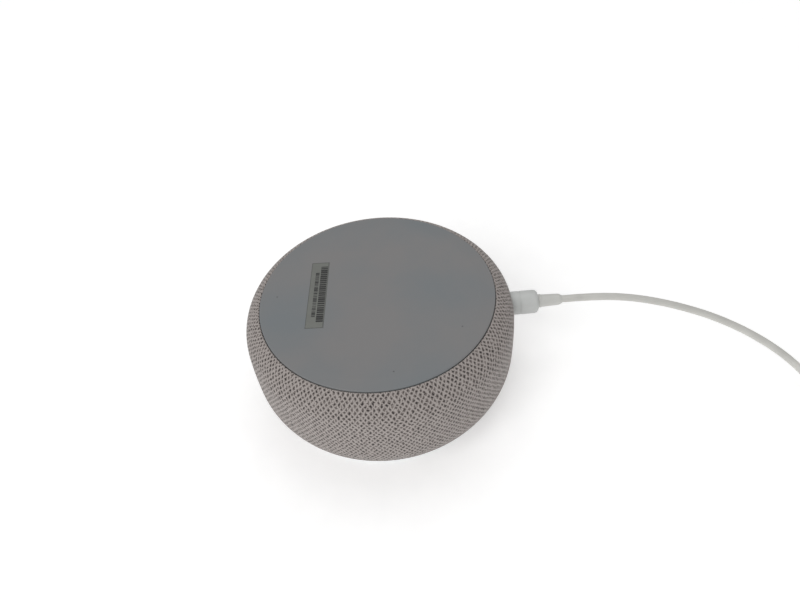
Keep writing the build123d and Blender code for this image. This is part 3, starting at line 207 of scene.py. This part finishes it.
# ================================================================ loudspeaker
# A small driver: powder-coated steel basket, sintered ferrite magnet between zinc-passivated steel parts,
# a paper cone, a rubber roll and a phenolic cloth spider.
dress(moulded("epdm_rubber", "#222223", "#2b2b2c", 0.75, 0.3, 0.02), "speaker_grommets", "speaker_surround")
dress(moulded("black_powder_coat", "#19191a", "#202021", 0.45, 0.4, 0.03), "speaker_basket")
dress(moulded("cellulose_gasket", "#4b4640", "#3f3a35", 0.9, 0.3, 0.03), "speaker_gasket")
dress(metal("zinc_passivated_steel", "#b9b49f", 0.35, 0.6, 0.1), "speaker_front_plate", "speaker_yoke")
dress(moulded("sintered_ferrite", "#2c2b2a", "#393736", 0.6, 0.15, 0.01), "speaker_magnet")

# Enamelled copper wire, wound so close that only its fine turns show.
wire_pitch = 0.2
coil_finish, coil_tree, coil_shader, coil_place = start_finish("enamelled_copper", "#b4632c", 0.3,
                                                               Metallic=1.0)
turns = add(coil_tree, "TexWave", {"Vector": coil_place, "Scale": bands_every(wire_pitch)},
            bands_direction="Z")
coil_bump = add(coil_tree, "Bump", {"Height": turns.outputs[0], "Distance": 0.00008})
coil_tree.links.new(coil_bump.outputs[0], coil_shader.inputs["Normal"])
dress(coil_finish, "voice_coil")

# Pressed paper pulp: short fibres lie every way and catch the light.
pulp_finish, pulp_tree, pulp_shader, pulp_place = start_finish("pressed_paper_pulp", "#262524", 0.85)
fibres = add(pulp_tree, "TexNoise", {"Vector": pulp_place, "Scale": every(0.8), "Detail": 6.0,
                                     "Distortion": 2.0})
pulp_colour = add(pulp_tree, "Mix", {0: fibres.outputs[0], 6: linear("#1a1918"), 7: linear("#3b3936")},
                  data_type="RGBA")
pulp_tree.links.new(pulp_colour.outputs[2], pulp_shader.inputs["Base Color"])
pulp_bump = add(pulp_tree, "Bump", {"Height": fibres.outputs[0], "Distance": 0.0001})
pulp_tree.links.new(pulp_bump.outputs[0], pulp_shader.inputs["Normal"])
dress(pulp_finish, "speaker_cone", "dust_cap")


def woven(name, thread, gap, pitch, roughness):
    """Plain cloth: two sets of threads at a pitch in millimetres."""
    finish, tree, shader, place = start_finish(name, thread, roughness)
    sets = [add(tree, "TexWave", {"Vector": place, "Scale": bands_every(pitch)}, bands_direction=way)
            for way in "XY"]
    over = add(tree, "Math", {0: sets[0].outputs[1], 1: sets[1].outputs[1]}, operation="MULTIPLY")
    colour = add(tree, "Mix", {0: over.outputs[0], 6: linear(gap), 7: linear(thread)}, data_type="RGBA")
    tree.links.new(colour.outputs[2], shader.inputs["Base Color"])
    bump = add(tree, "Bump", {"Height": over.outputs[0], "Distance": 0.0001})
    tree.links.new(bump.outputs[0], shader.inputs["Normal"])
    return finish


dress(woven("phenolic_cloth", "#c08a3e", "#6d4716", 0.6, 0.7), "speaker_spider")
dress(moulded("red_pvc_wire", "#8e2a24", "#7d231e", 0.5, 0.3, 0.01), "speaker_wires")

# ================================================================ main board
# The processor's board, with folded tin-plated screening cans, the two sockets in black PBT, and the coils
# and capacitors of the supply. Soft pads carry the heat to a plain aluminium plate.
dress(circuit_board("black_solder_resist", "#16211d", "#2c4037", 2.0), "main_board")
dress(moulded("black_socket_pbt", "#18181a", "#202022", 0.45, 0.3, 0.015), "dc_jack", "audio_jack")
dress(metal("nickel_plated_brass", "#c9c4b6", 0.22, 0.5, 0.05), "dc_jack_pin", "plug_barrel")
dress(metal("folded_tinplate", "#c2c5c6", 0.34, 1.2, 0.1), "shield_cans")
dress(moulded("silicone_heat_pad", "#8f9aa6", "#84909c", 0.8, 0.4, 0.02), "thermal_pads")
dress(moulded("moulded_inductors", "#3a3a3c", "#48484a", 0.5, 0.3, 0.02), "power_components")
dress(metal("rolled_aluminium", "#c4c6c8", 0.38, 0.3, 0.08), "heat_sink")
dress(metal("printed_copper_aerial", "#b87448", 0.35, 0.5, 0.08), "antennas")

# ================================================================ grille core and port bezel
# The slotted drum behind the cloth is glass-filled nylon. The bezel round the two sockets is light ABS that
# matches the cloth.
dress(moulded("glass_filled_nylon", "#47474a", "#3e3e41", 0.6, 0.5, 0.03), "grille_core")
dress(moulded("bezel_abs", "#a9a6a2", "#a19e9a", 0.5, 0.35, 0.02), "port_bezel")

# ================================================================ knitted sleeve
# A polyester spacer knit is stretched over the drum and glued at both rims. Each loop leaves a small eye,
# and the eyes lie in staggered rows, so the light yarn reads as a lattice round dark dots.
MM = 0.001
knit_columns = 168               # loops round the body
row_height = 1.2                 # from one row of eyes to the next
samples_round = 4                # mesh points for each loop
row_step = 0.34                  # distance between mesh rows
eye_depth = 0.08
yarn_fuzz = 0.02
rim_roll = 0.3                   # the cloth turns in over the foot-side rim on this radius
edge_roll = 0.3
edge_turn = -0.8 * math.pi       # how far the plate-side edge turns under

sleeve_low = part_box("fabric_sleeve")[0]
body_radius = -sleeve_low.x / MM
widest_height = 27.0
foot_flank, foot_sweep = 144.3, 2.305        # radius and degrees of the gentle arc on the foot side
plate_flank, plate_sweep = 185.3, 3.0        # the same towards the plate
foot_rim_inset, foot_rim_height = 6.4, 43.1
plate_rim_inset = 7.5
foot_rim = (body_radius - foot_rim_inset, foot_rim_height)
plate_rim = (body_radius - plate_rim_inset, sleeve_low.z / MM)


def shoulder(rim, flank, sweep, side):
    """Centre, radius, and end angles of the arc from the flank to a rim."""
    turn = math.radians(sweep) * side
    across, up = math.cos(turn), math.sin(turn)
    start = (body_radius - flank * (1 - across), widest_height + flank * up)
    chord = (rim[0] - start[0], rim[1] - start[1])
    radius = -(chord[0] ** 2 + chord[1] ** 2) / (2 * (chord[0] * across + chord[1] * up))
    centre = (start[0] - radius * across, start[1] - radius * up)
    return centre, radius, turn, math.atan2(rim[1] - centre[1], rim[0] - centre[0])


def inner_roll(rim, angle, radius, end):
    """Small arc that turns the cloth's edge inwards from a rim."""
    centre = (rim[0] - radius * math.cos(angle), rim[1] - radius * math.sin(angle))
    return centre, radius, end, angle


foot_centre, foot_radius, foot_start, foot_end = shoulder(foot_rim, foot_flank, foot_sweep, 1)
plate_centre, plate_radius, plate_start, plate_end = shoulder(plate_rim, plate_flank, plate_sweep, -1)
arcs = [
    inner_roll(foot_rim, foot_end, rim_roll, math.pi),
    (foot_centre, foot_radius, foot_end, foot_start),
    ((body_radius - foot_flank, widest_height), foot_flank, foot_start, 0.0),
    ((body_radius - plate_flank, widest_height), plate_flank, 0.0, plate_start),
    (plate_centre, plate_radius, plate_start, plate_end),
    inner_roll(plate_rim, plate_end, edge_roll, edge_turn)[:2] + (plate_end, edge_turn),
]

outline = []                     # radius, height, outward direction and distance along the cloth
travelled = 0.0
for centre, radius, start, end in arcs:
    length = abs(radius * (end - start))
    steps = max(3, round(length / row_step))
    for step in range(steps):
        angle = start + (end - start) * step / steps
        outline.append((centre[0] + radius * math.cos(angle), centre[1] + radius * math.sin(angle),
                        math.cos(angle), math.sin(angle), travelled + length * step / steps))
    travelled += length
outline = np.array(outline)

count_round = knit_columns * samples_round
columns = np.arange(count_round) / samples_round
rows = outline[:, 4] / row_height
eyes = np.cos(2 * np.pi * columns)[None, :] * np.cos(np.pi * rows)[:, None]
fuzz = np.random.default_rng(11).uniform(-yarn_fuzz, yarn_fuzz, eyes.shape)
fade = np.clip(np.minimum(rows - 0.8, rows[-1] - rows), 0.0, 1.0)[:, None]
lift = fade * (fuzz - eye_depth * np.clip(eyes, 0.0, 1.0))
around = 2 * np.pi * columns / knit_columns
reach = outline[:, 0][:, None] + lift * outline[:, 2][:, None]
rise = np.broadcast_to(outline[:, 1][:, None], reach.shape) + lift * outline[:, 3][:, None]
cloth = np.stack([reach * np.cos(around), reach * np.sin(around), rise], axis=2)

# The cloth is cut out round the bezel, and its edge is tucked in behind it.
bezel_lip = 1.2
cut_gap = 0.05                   # the cut lies this far outside the bezel's tube
tuck_depth = 0.8
bezel_low, bezel_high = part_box("port_bezel")
port_height = (bezel_low.z + bezel_high.z) / 2 / MM
lip_reach = (bezel_high.z - bezel_low.z) / 2 / MM
cut_radius = lip_reach - bezel_lip + cut_gap
nearest = np.clip(cloth[..., 1], bezel_low.y / MM + lip_reach, bezel_high.y / MM - lip_reach)
across, up = cloth[..., 1] - nearest, cloth[..., 2] - port_height
reach_out = np.hypot(across, up)
cut = (cloth[..., 0] > 0) & (reach_out < cut_radius)
pull = np.where(cut, cut_radius / np.maximum(reach_out, 1e-6), 1.0)
cut_y, cut_z = nearest + across * pull, port_height + up * pull
wall = np.interp(cut_z, outline[::-1, 1], outline[::-1, 0])
cut_x = np.sqrt(np.maximum(wall ** 2 - cut_y ** 2, 0.0))

index = np.arange(cloth.shape[0] * count_round).reshape(cloth.shape[0], count_round)
corners = np.stack([index[:-1], np.roll(index[:-1], -1, 1), np.roll(index[1:], -1, 1), index[1:]], axis=2)
knit_place = np.stack(np.broadcast_arrays(columns[None, :], rows[:, None]), axis=2)
corner_place = np.stack([knit_place[:-1], knit_place[:-1] + (1 / samples_round, 0),
                         knit_place[1:] + (1 / samples_round, 0), knit_place[1:]], axis=2)
gone = cut.reshape(-1)[corners].all(axis=2)
cloth[cut] = np.stack([cut_x, cut_y, cut_z], axis=2)[cut]
kept = corners[~gone]
used, kept = np.unique(kept, return_inverse=True)

sleeve_mesh = bpy.data.meshes.new("knitted_sleeve")
sleeve_mesh.from_pydata((cloth.reshape(-1, 3)[used] * MM).tolist(), [], kept.reshape(-1, 4).tolist())
knit_map = sleeve_mesh.uv_layers.new(name="knit")
knit_map.data.foreach_set("uv", corner_place[~gone].reshape(-1).astype(np.float32))
tuck = bmesh.new()
tuck.from_mesh(sleeve_mesh)


def by_ports(vert):
    """True where a point of the cloth's edge lies round the sockets."""
    return abs(vert.co.z - port_height * MM) < lip_reach * MM and vert.co.x > 0


rim_edges = [edge for edge in tuck.edges if edge.is_boundary and all(by_ports(vert) for vert in edge.verts)]
tucked = bmesh.ops.extrude_edge_only(tuck, edges=rim_edges)["geom"]
for vert in tucked:
    if isinstance(vert, bmesh.types.BMVert):
        vert.co.x -= tuck_depth * MM
tuck.to_mesh(sleeve_mesh)
tuck.free()
sleeve_mesh.shade_smooth()
sleeve = bpy.data.objects.new("knitted_sleeve", sleeve_mesh)
bpy.context.scene.collection.objects.link(sleeve)

knit_finish, knit_tree, knit_shader, _ = start_finish("polyester_knit", "#a69e9a", 0.85, Sheen_Weight=0.1,
                                                      Sheen_Roughness=0.5)
loops = add(knit_tree, "UVMap", {}, uv_map="knit").outputs[0]
wander = add(knit_tree, "TexNoise", {"Vector": loops, "Scale": 1.1, "Detail": 2.0})
centred = add(knit_tree, "VectorMath", {0: wander.outputs[1], 1: (0.5, 0.5, 0.5)}, operation="SUBTRACT")
shifted = add(knit_tree, "VectorMath", {0: centred.outputs[0], 1: (0.75, 1.7, 0.0), 2: loops},
              operation="MULTIPLY_ADD")


def strand(lean):
    """Wave that is highest on the eyes and lowest along the strands that lean one way between them."""
    phase = add(knit_tree, "VectorMath", {0: shifted.outputs[0], 1: (2 * math.pi, lean * math.pi, 0.0)},
                operation="DOT_PRODUCT")
    return add(knit_tree, "Math", {0: phase.outputs[1]}, operation="COSINE").outputs[0]


leaning_right, leaning_left = strand(1), strand(-1)
lattice = add(knit_tree, "Math", {0: leaning_right, 1: leaning_left}, operation="ADD").outputs[0]
lowest = add(knit_tree, "Math", {0: leaning_right, 1: leaning_left}, operation="MINIMUM").outputs[0]
yarn_share = add(knit_tree, "MapRange", {"Value": lowest, "From Min": -0.15, "From Max": -1.0},
                 interpolation_type="SMOOTHSTEP").outputs[0]
uneven = add(knit_tree, "TexNoise", {"Vector": loops, "Scale": 1.6, "Detail": 2.0})
varied = add(knit_tree, "Math", {0: uneven.outputs[0], 1: 2.4, 2: lattice}, operation="MULTIPLY_ADD")
eye = add(knit_tree, "MapRange", {"Value": varied.outputs[0], "From Min": 2.38, "From Max": 2.88},
          interpolation_type="SMOOTHSTEP").outputs[0]
fibre = add(knit_tree, "TexNoise", {"Vector": loops, "Scale": 5.0, "Detail": 2.0})
yarn_light = add(knit_tree, "Mix", {0: fibre.outputs[0], 6: linear("#908884"), 7: linear("#c5bdb9")},
                 data_type="RGBA").outputs[2]
yarn = add(knit_tree, "Mix", {0: yarn_share, 6: linear("#79716d"), 7: yarn_light},
           data_type="RGBA").outputs[2]
knit_colour = add(knit_tree, "Mix", {0: eye, 6: yarn, 7: linear("#2c2827")}, data_type="RGBA").outputs[2]
knit_tree.links.new(knit_colour, knit_shader.inputs["Base Color"])
relief = add(knit_tree, "Math", {0: yarn_share, 1: eye}, operation="SUBTRACT").outputs[0]
knit_bump = add(knit_tree, "Bump", {"Height": relief, "Distance": 0.00004})
knit_tree.links.new(knit_bump.outputs[0], knit_shader.inputs["Normal"])
sleeve_mesh.materials.append(knit_finish)
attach(sleeve, "speaker_body")
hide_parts("fabric_sleeve")

# ================================================================ base housing and its screws
# The base is black ABS under the foot. Four long black-zinc screws go through it into the posts.
dress(black_abs, "base_housing")
dress(metal("black_zinc_screws", "#3c3d40", 0.4, 0.25, 0.1), "base_screws")
dress(moulded("acrylic_tape", "#cfcbbd", "#c3bfb1", 0.6, 0.6, 0.02), "foot_adhesive")

# ================================================================ rubber foot
# A disc of thermoplastic rubber, moulded matt so that it grips and hides marks. It shows a few dark specks
# in the compound.
foot_finish, foot_tree, foot_shader, foot_place = start_finish("matt_rubber", "#7f8081", 0.62)
foot_tone = cloud(foot_tree, foot_place, 34.0, "#828181", "#797e81")
specks = [(-36.2, 3.2), (29.0, -18.6), (4.7, -35.4)]
speck_radius = 0.4
tone = foot_tone
for x, y in specks:
    away = add(foot_tree, "VectorMath", {0: foot_place, 1: (x * MM, y * MM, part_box("rubber_foot")[1].z)},
               operation="DISTANCE")
    speck = add(foot_tree, "MapRange", {"Value": away.outputs[1], "From Min": 0.4 * speck_radius * MM,
                                        "From Max": speck_radius * MM, "To Min": 0.6, "To Max": 0.0})
    tone = add(foot_tree, "Mix", {0: speck.outputs[0], 6: tone, 7: linear("#3a3c3d")},
               data_type="RGBA").outputs[2]
foot_tree.links.new(tone, foot_shader.inputs["Base Color"])
grain(foot_tree, foot_shader, foot_place, 0.5, 0.012)
dress(foot_finish, "rubber_foot")

# ================================================================ rating label
# A polyester sticker with a satin face. Plain bars fill its right half, and a row of short dashes stands
# where the small print would be; neither spells anything.
label_centre = (-21.4, 2.8)
label_turn = -3.0
label_half = (3.25, 16.35)
label_finish, label_tree, label_shader, label_place = start_finish("printed_polyester", "#868a86", 0.45)
own = add(label_tree, "Mapping", {"Vector": label_place, "Rotation": (0, 0, math.radians(label_turn)),
                                  "Location": (label_centre[0] * MM, label_centre[1] * MM, 0)},
          vector_type="TEXTURE")
label_ways = add(label_tree, "SeparateXYZ", {0: own.outputs[0]})
label_across, label_along = label_ways.outputs[0], label_ways.outputs[1]


def combine(operation, first, second):
    """Join two values by arithmetic."""
    return add(label_tree, "Math", {0: first, 1: second}, operation=operation).outputs[0]


def within(value, middle, half):
    """One where a length lies within half a width of its middle, in millimetres."""
    return add(label_tree, "Math", {0: value, 1: middle * MM, 2: half * MM}, operation="COMPARE").outputs[0]


def row_of_marks(pitch, thin, spread, middle_across, half_across, middle_along, half_along):
    """Marks at a pitch along the label whose thickness is drawn for each one, in millimetres."""
    strip = combine("SNAP", label_along, pitch * MM)
    draw = add(label_tree, "TexWhiteNoise", {"W": combine("MULTIPLY", strip, 1000.0)}, noise_dimensions="1D")
    along_mark = combine("SUBTRACT", label_along, strip)
    reach = combine("ABSOLUTE", combine("SUBTRACT", along_mark, pitch / 2 * MM), 0.0)
    thickness = add(label_tree, "Math", {0: draw.outputs[0], 1: spread * MM, 2: thin * MM},
                    operation="MULTIPLY_ADD").outputs[0]
    field = combine("MULTIPLY", within(label_across, middle_across, half_across),
                    within(label_along, middle_along, half_along))
    return combine("MULTIPLY", combine("LESS_THAN", reach, thickness), field)


bars = row_of_marks(1.05, 0.3, 0.24, 1.6, 1.25, 0.3, 13.9)
dashes = row_of_marks(0.8, 0.12, 0.26, -0.8, 0.7, 0.1, 11.2)
ink = combine("MAXIMUM", bars, dashes)
# Painted shade: a darker band round the sticker's edge, a little wider on one side, stands in for the shade
# along its rim.
shade_band_width = 0.3                     # the darker edge of the sticker, a little wider on one side
shade_band_shift = -0.1
painted_shade_strength = 0.45
inner = combine("MULTIPLY", within(label_across, shade_band_shift, label_half[0] - shade_band_width),
                within(label_along, 0.0, label_half[1] - shade_band_width))
painted_edge_shade = combine("MULTIPLY", combine("SUBTRACT", 1.0, inner), painted_shade_strength)
paper_tone = cloud(label_tree, label_place, 5.0, "#737570", "#6e706b")
# The painted edge shade darkens the sticker's tone along its rim.
with_painted_edge_shade = add(label_tree, "Mix", {0: painted_edge_shade, 6: paper_tone, 7: linear("#3c3f3e")},
            data_type="RGBA").outputs[2]
printed = add(label_tree, "Mix", {0: ink, 6: with_painted_edge_shade, 7: linear("#1d1d1d")}, data_type="RGBA").outputs[2]
label_tree.links.new(printed, label_shader.inputs["Base Color"])
grain(label_tree, label_shader, label_place, 0.6, 0.01)
dress(label_finish, "rating_label")

# ================================================================ power plug
# A barrel plug: plated brass, a nylon insulator, and a white ABS body over-moulded with a soft PVC relief.
dress(moulded("black_nylon_insulator", "#202022", "#29292b", 0.5, 0.3, 0.01), "plug_insulator")
plug_abs = moulded("white_plug_abs", "#d0d2d0", "#c5c7c5", 0.42, 0.5, 0.01)
dress(plug_abs, "plug_housing")
white_pvc = moulded("soft_white_pvc", "#d3d3cf", "#cacac6", 0.5, 0.6, 0.015)
dress(white_pvc, "plug_strain_relief", "adapter_strain_relief")

# ================================================================ power lead
# A two-core flexible lead with a white PVC jacket, 2.8 mm thick. It leaves the plug level, sinks to the
# floor in one slow bend, and the rest is wound in a neat coil and tied beside its adapter.
lead_width = 2.8
lead_route = [
    (68.0, 1.8, 31.0),
    (81.0, 1.8, 31.0),
    (96.0, 1.7, 28.2),
    (111.0, 0.4, 23.6),
    (126.0, -2.4, 18.2),
    (140.0, -8.0, 12.6),
    (151.5, -17.0, 7.8),
    (159.0, -30.0, 3.8),
    (162.5, -46.0, 1.4),
]
tail_route = [
    (204.3, -66.3, 10.0),
    (208.0, -57.2, 11.2),
    (209.6, -47.8, 13.5),
    (209.6, -39.0, 13.5),
]
coil_centre = (184.0, -60.0)
coil_start, coil_end = 181.5, 315.0          # degrees where the lead comes in and leaves
full_turns = 12
points_per_turn = 24
lane_change = 0.25                           # share of a turn in which the lead moves to its next place
lanes = (19.6, 16.8, 14.0)                   # radii of three turns side by side
lane_run = [(lanes[place], lead_width * (0.5 + layer))
            for layer in range(4) for place in ((0, 1, 2), (2, 1, 0))[layer % 2]]
lane_run.insert(11, (15.4, lead_width * 4.4))    # the last whole turn nests on top
coil_points = []
turn_share = full_turns + (coil_end - coil_start) / 360
point_count = round(turn_share * points_per_turn)
for point in range(point_count + 1):
    turns_done = turn_share * point / point_count
    lane = min(int(turns_done), full_turns)
    change = max(0.0, (turns_done - lane - (1 - lane_change)) / lane_change)
    ease = change * change * (3 - 2 * change)
    near, far = lane_run[lane], lane_run[min(lane + 1, full_turns)]
    coil_radius = near[0] + (far[0] - near[0]) * ease
    height = near[1] + (far[1] - near[1]) * ease
    angle = math.radians(coil_start + 360 * turns_done)
    coil_points.append((coil_centre[0] + coil_radius * math.cos(angle),
                        coil_centre[1] + coil_radius * math.sin(angle), height))
lead_points = lead_route + coil_points + tail_route

lead_curve = bpy.data.curves.new("power_lead_cord", "CURVE")
lead_curve.dimensions = "3D"
lead_curve.bevel_depth = lead_width / 2 * MM
lead_curve.bevel_resolution = 4
lead_curve.resolution_u = 4
lead_curve.use_fill_caps = True
line = lead_curve.splines.new("NURBS")
line.points.add(len(lead_points) - 1)
for knot, (x, y, z) in zip(line.points, lead_points):
    knot.co = (x * MM, y * MM, z * MM, 1.0)
line.order_u = 3
line.use_endpoint_u = True
lead = bpy.data.objects.new("power_lead_cord", lead_curve)
bpy.context.scene.collection.objects.link(lead)
lead_curve.materials.append(moulded("white_pvc_jacket", "#d4d3ce", "#c9c8c3", 0.45, 0.8, 0.012))

# A hook-and-loop strap holds the coil together.
tie_angle = 60.0
tie_width = 7.0
tie_thickness = 0.7
tie_gap = 0.3
tie_inside = (lanes[2] - lead_width / 2 - tie_gap, lanes[0] + lead_width / 2 + tie_gap)
tie_top = lead_width * 4.9 + tie_gap
tie_corner = 2.2
tie_section = []
for centre_x, centre_z, start in ((tie_inside[1] - tie_corner, tie_corner, -90),
                                  (tie_inside[1] - tie_corner, tie_top - tie_corner, 0),
                                  (tie_inside[0] + tie_corner, tie_top - tie_corner, 90),
                                  (tie_inside[0] + tie_corner, tie_corner, 180)):
    for step in range(7):
        angle = math.radians(start + 15 * step)
        tie_section.append((centre_x, centre_z, math.cos(angle), math.sin(angle)))
tie_build = bmesh.new()
tie_turn = Matrix.Translation((coil_centre[0] * MM, coil_centre[1] * MM, 0)) @ Matrix.Rotation(
    math.radians(tie_angle), 4, "Z")
tie_rings = []
for offset, side in ((tie_corner, -1), (tie_corner, 1), (tie_corner - tie_thickness, 1),
                     (tie_corner - tie_thickness, -1)):
    loop = []
    for centre_x, centre_z, out_x, out_z in tie_section:
        place = Vector((centre_x + offset * out_x, side * tie_width / 2, centre_z + offset * out_z)) * MM
        loop.append(tie_build.verts.new(tie_turn @ place))
    tie_rings.append(loop)
for first, second in zip(tie_rings, tie_rings[1:] + tie_rings[:1]):
    for step in range(len(first)):
        after = (step + 1) % len(first)
        tie_build.faces.new((first[step], first[after], second[after], second[step]))
bmesh.ops.recalc_face_normals(tie_build, faces=tie_build.faces)
tie_mesh = bpy.data.meshes.new("cord_tie")
tie_build.to_mesh(tie_mesh)
tie_build.free()
tie = bpy.data.objects.new("cord_tie", tie_mesh)
bpy.context.scene.collection.objects.link(tie)
tie_mesh.materials.append(woven("loop_pile_nylon", "#cfcfcb", "#a9a9a5", 0.7, 0.9))
soften = tie.modifiers.new("rounded_edges", "BEVEL")
soften.width = 0.2 * MM
soften.segments = 2
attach(tie, "power_lead")

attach(lead, "power_lead")
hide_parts("power_cord", "cord_coil", "cord_tail")

# ================================================================ mains adapter
# Two shells of white polycarbonate, welded round the edge, with nickel-plated brass blades. The circuit
# inside is a green board, and the lead leaves through a soft relief.
adapter_white = moulded("white_polycarbonate", "#e2e3e1", "#dcdddb", 0.36, 0.45, 0.012)
dress(adapter_white, "adapter_case", "adapter_cover")
dress(metal("nickel_plated_blades", "#cbc7bb", 0.24, 0.8, 0.06), "adapter_blades")
dress(circuit_board("adapter_solder_resist", "#235a3e", "#3d7d5b", 1.8), "adapter_circuit")

# ================================================================ floor and light
# A seamless pale sweep under soft daylight from above, as on a packshot table. The card glows a little, so
# that it stays nearly white round the object.
floor_reach = 4.0
floor_mesh = bpy.data.meshes.new("floor")
floor_corners = [(x * floor_reach, y * floor_reach, 0.0) for x, y in ((-1, -1), (1, -1), (1, 1), (-1, 1))]
floor_mesh.from_pydata(floor_corners, [], [(0, 1, 2, 3)])
floor = bpy.data.objects.new("floor", floor_mesh)
bpy.context.scene.collection.objects.link(floor)
floor_mesh.materials.append(moulded("pale_card", "#fbfbfb", "#f8f8f8", 0.9, 2.0, 0.01,
                                    Emission_Color=linear("#ffffff"), Emission_Strength=0.33))

world = bpy.data.worlds.new("soft_room")
bpy.context.scene.world = world
world.use_nodes = True
world.node_tree.nodes["Background"].inputs[0].default_value = linear("#ffffff")
world.node_tree.nodes["Background"].inputs[1].default_value = 0.40
bpy.context.scene.view_settings.view_transform = "Standard"


def soft_light(name, place, size, power):
    """A square softbox that points at the middle of the object."""
    lamp = bpy.data.lights.new(name, "AREA")
    lamp.size = size
    lamp.energy = power
    box = bpy.data.objects.new(name, lamp)
    box.location = place
    box.rotation_euler = (Vector((0, 0, 0.02)) - Vector(place)).to_track_quat("-Z", "Y").to_euler()
    bpy.context.scene.collection.objects.link(box)


soft_light("key_softbox", (-0.55, -0.75, 0.95), 0.8, 5.8)
soft_light("top_softbox", (0.1, 0.5, 1.1), 1.0, 3.2)

# ================================================================ camera
# A hand-held view from in front and above, tilted a little to one side. It frames the body, the plug and
# the first stretch of the lead.
eye_place = Vector((14.331, -182.094, 233.177)) * MM
look = Vector((-0.023117, 0.685858, -0.727369)).normalized()
upward = Vector((0.088730, 0.726099, 0.681841))
right = look.cross(upward).normalized()
upward = right.cross(look)
camera_data = bpy.data.cameras.new("camera")
camera_data.lens = 32.876
camera_data.sensor_width = 36.0
camera_data.clip_start = 0.01
camera = bpy.data.objects.new("camera", camera_data)
turn = Matrix((right, upward, -look)).transposed().to_4x4()
camera.matrix_world = Matrix.Translation(eye_place) @ turn
bpy.context.scene.collection.objects.link(camera)
bpy.context.scene.camera = camera
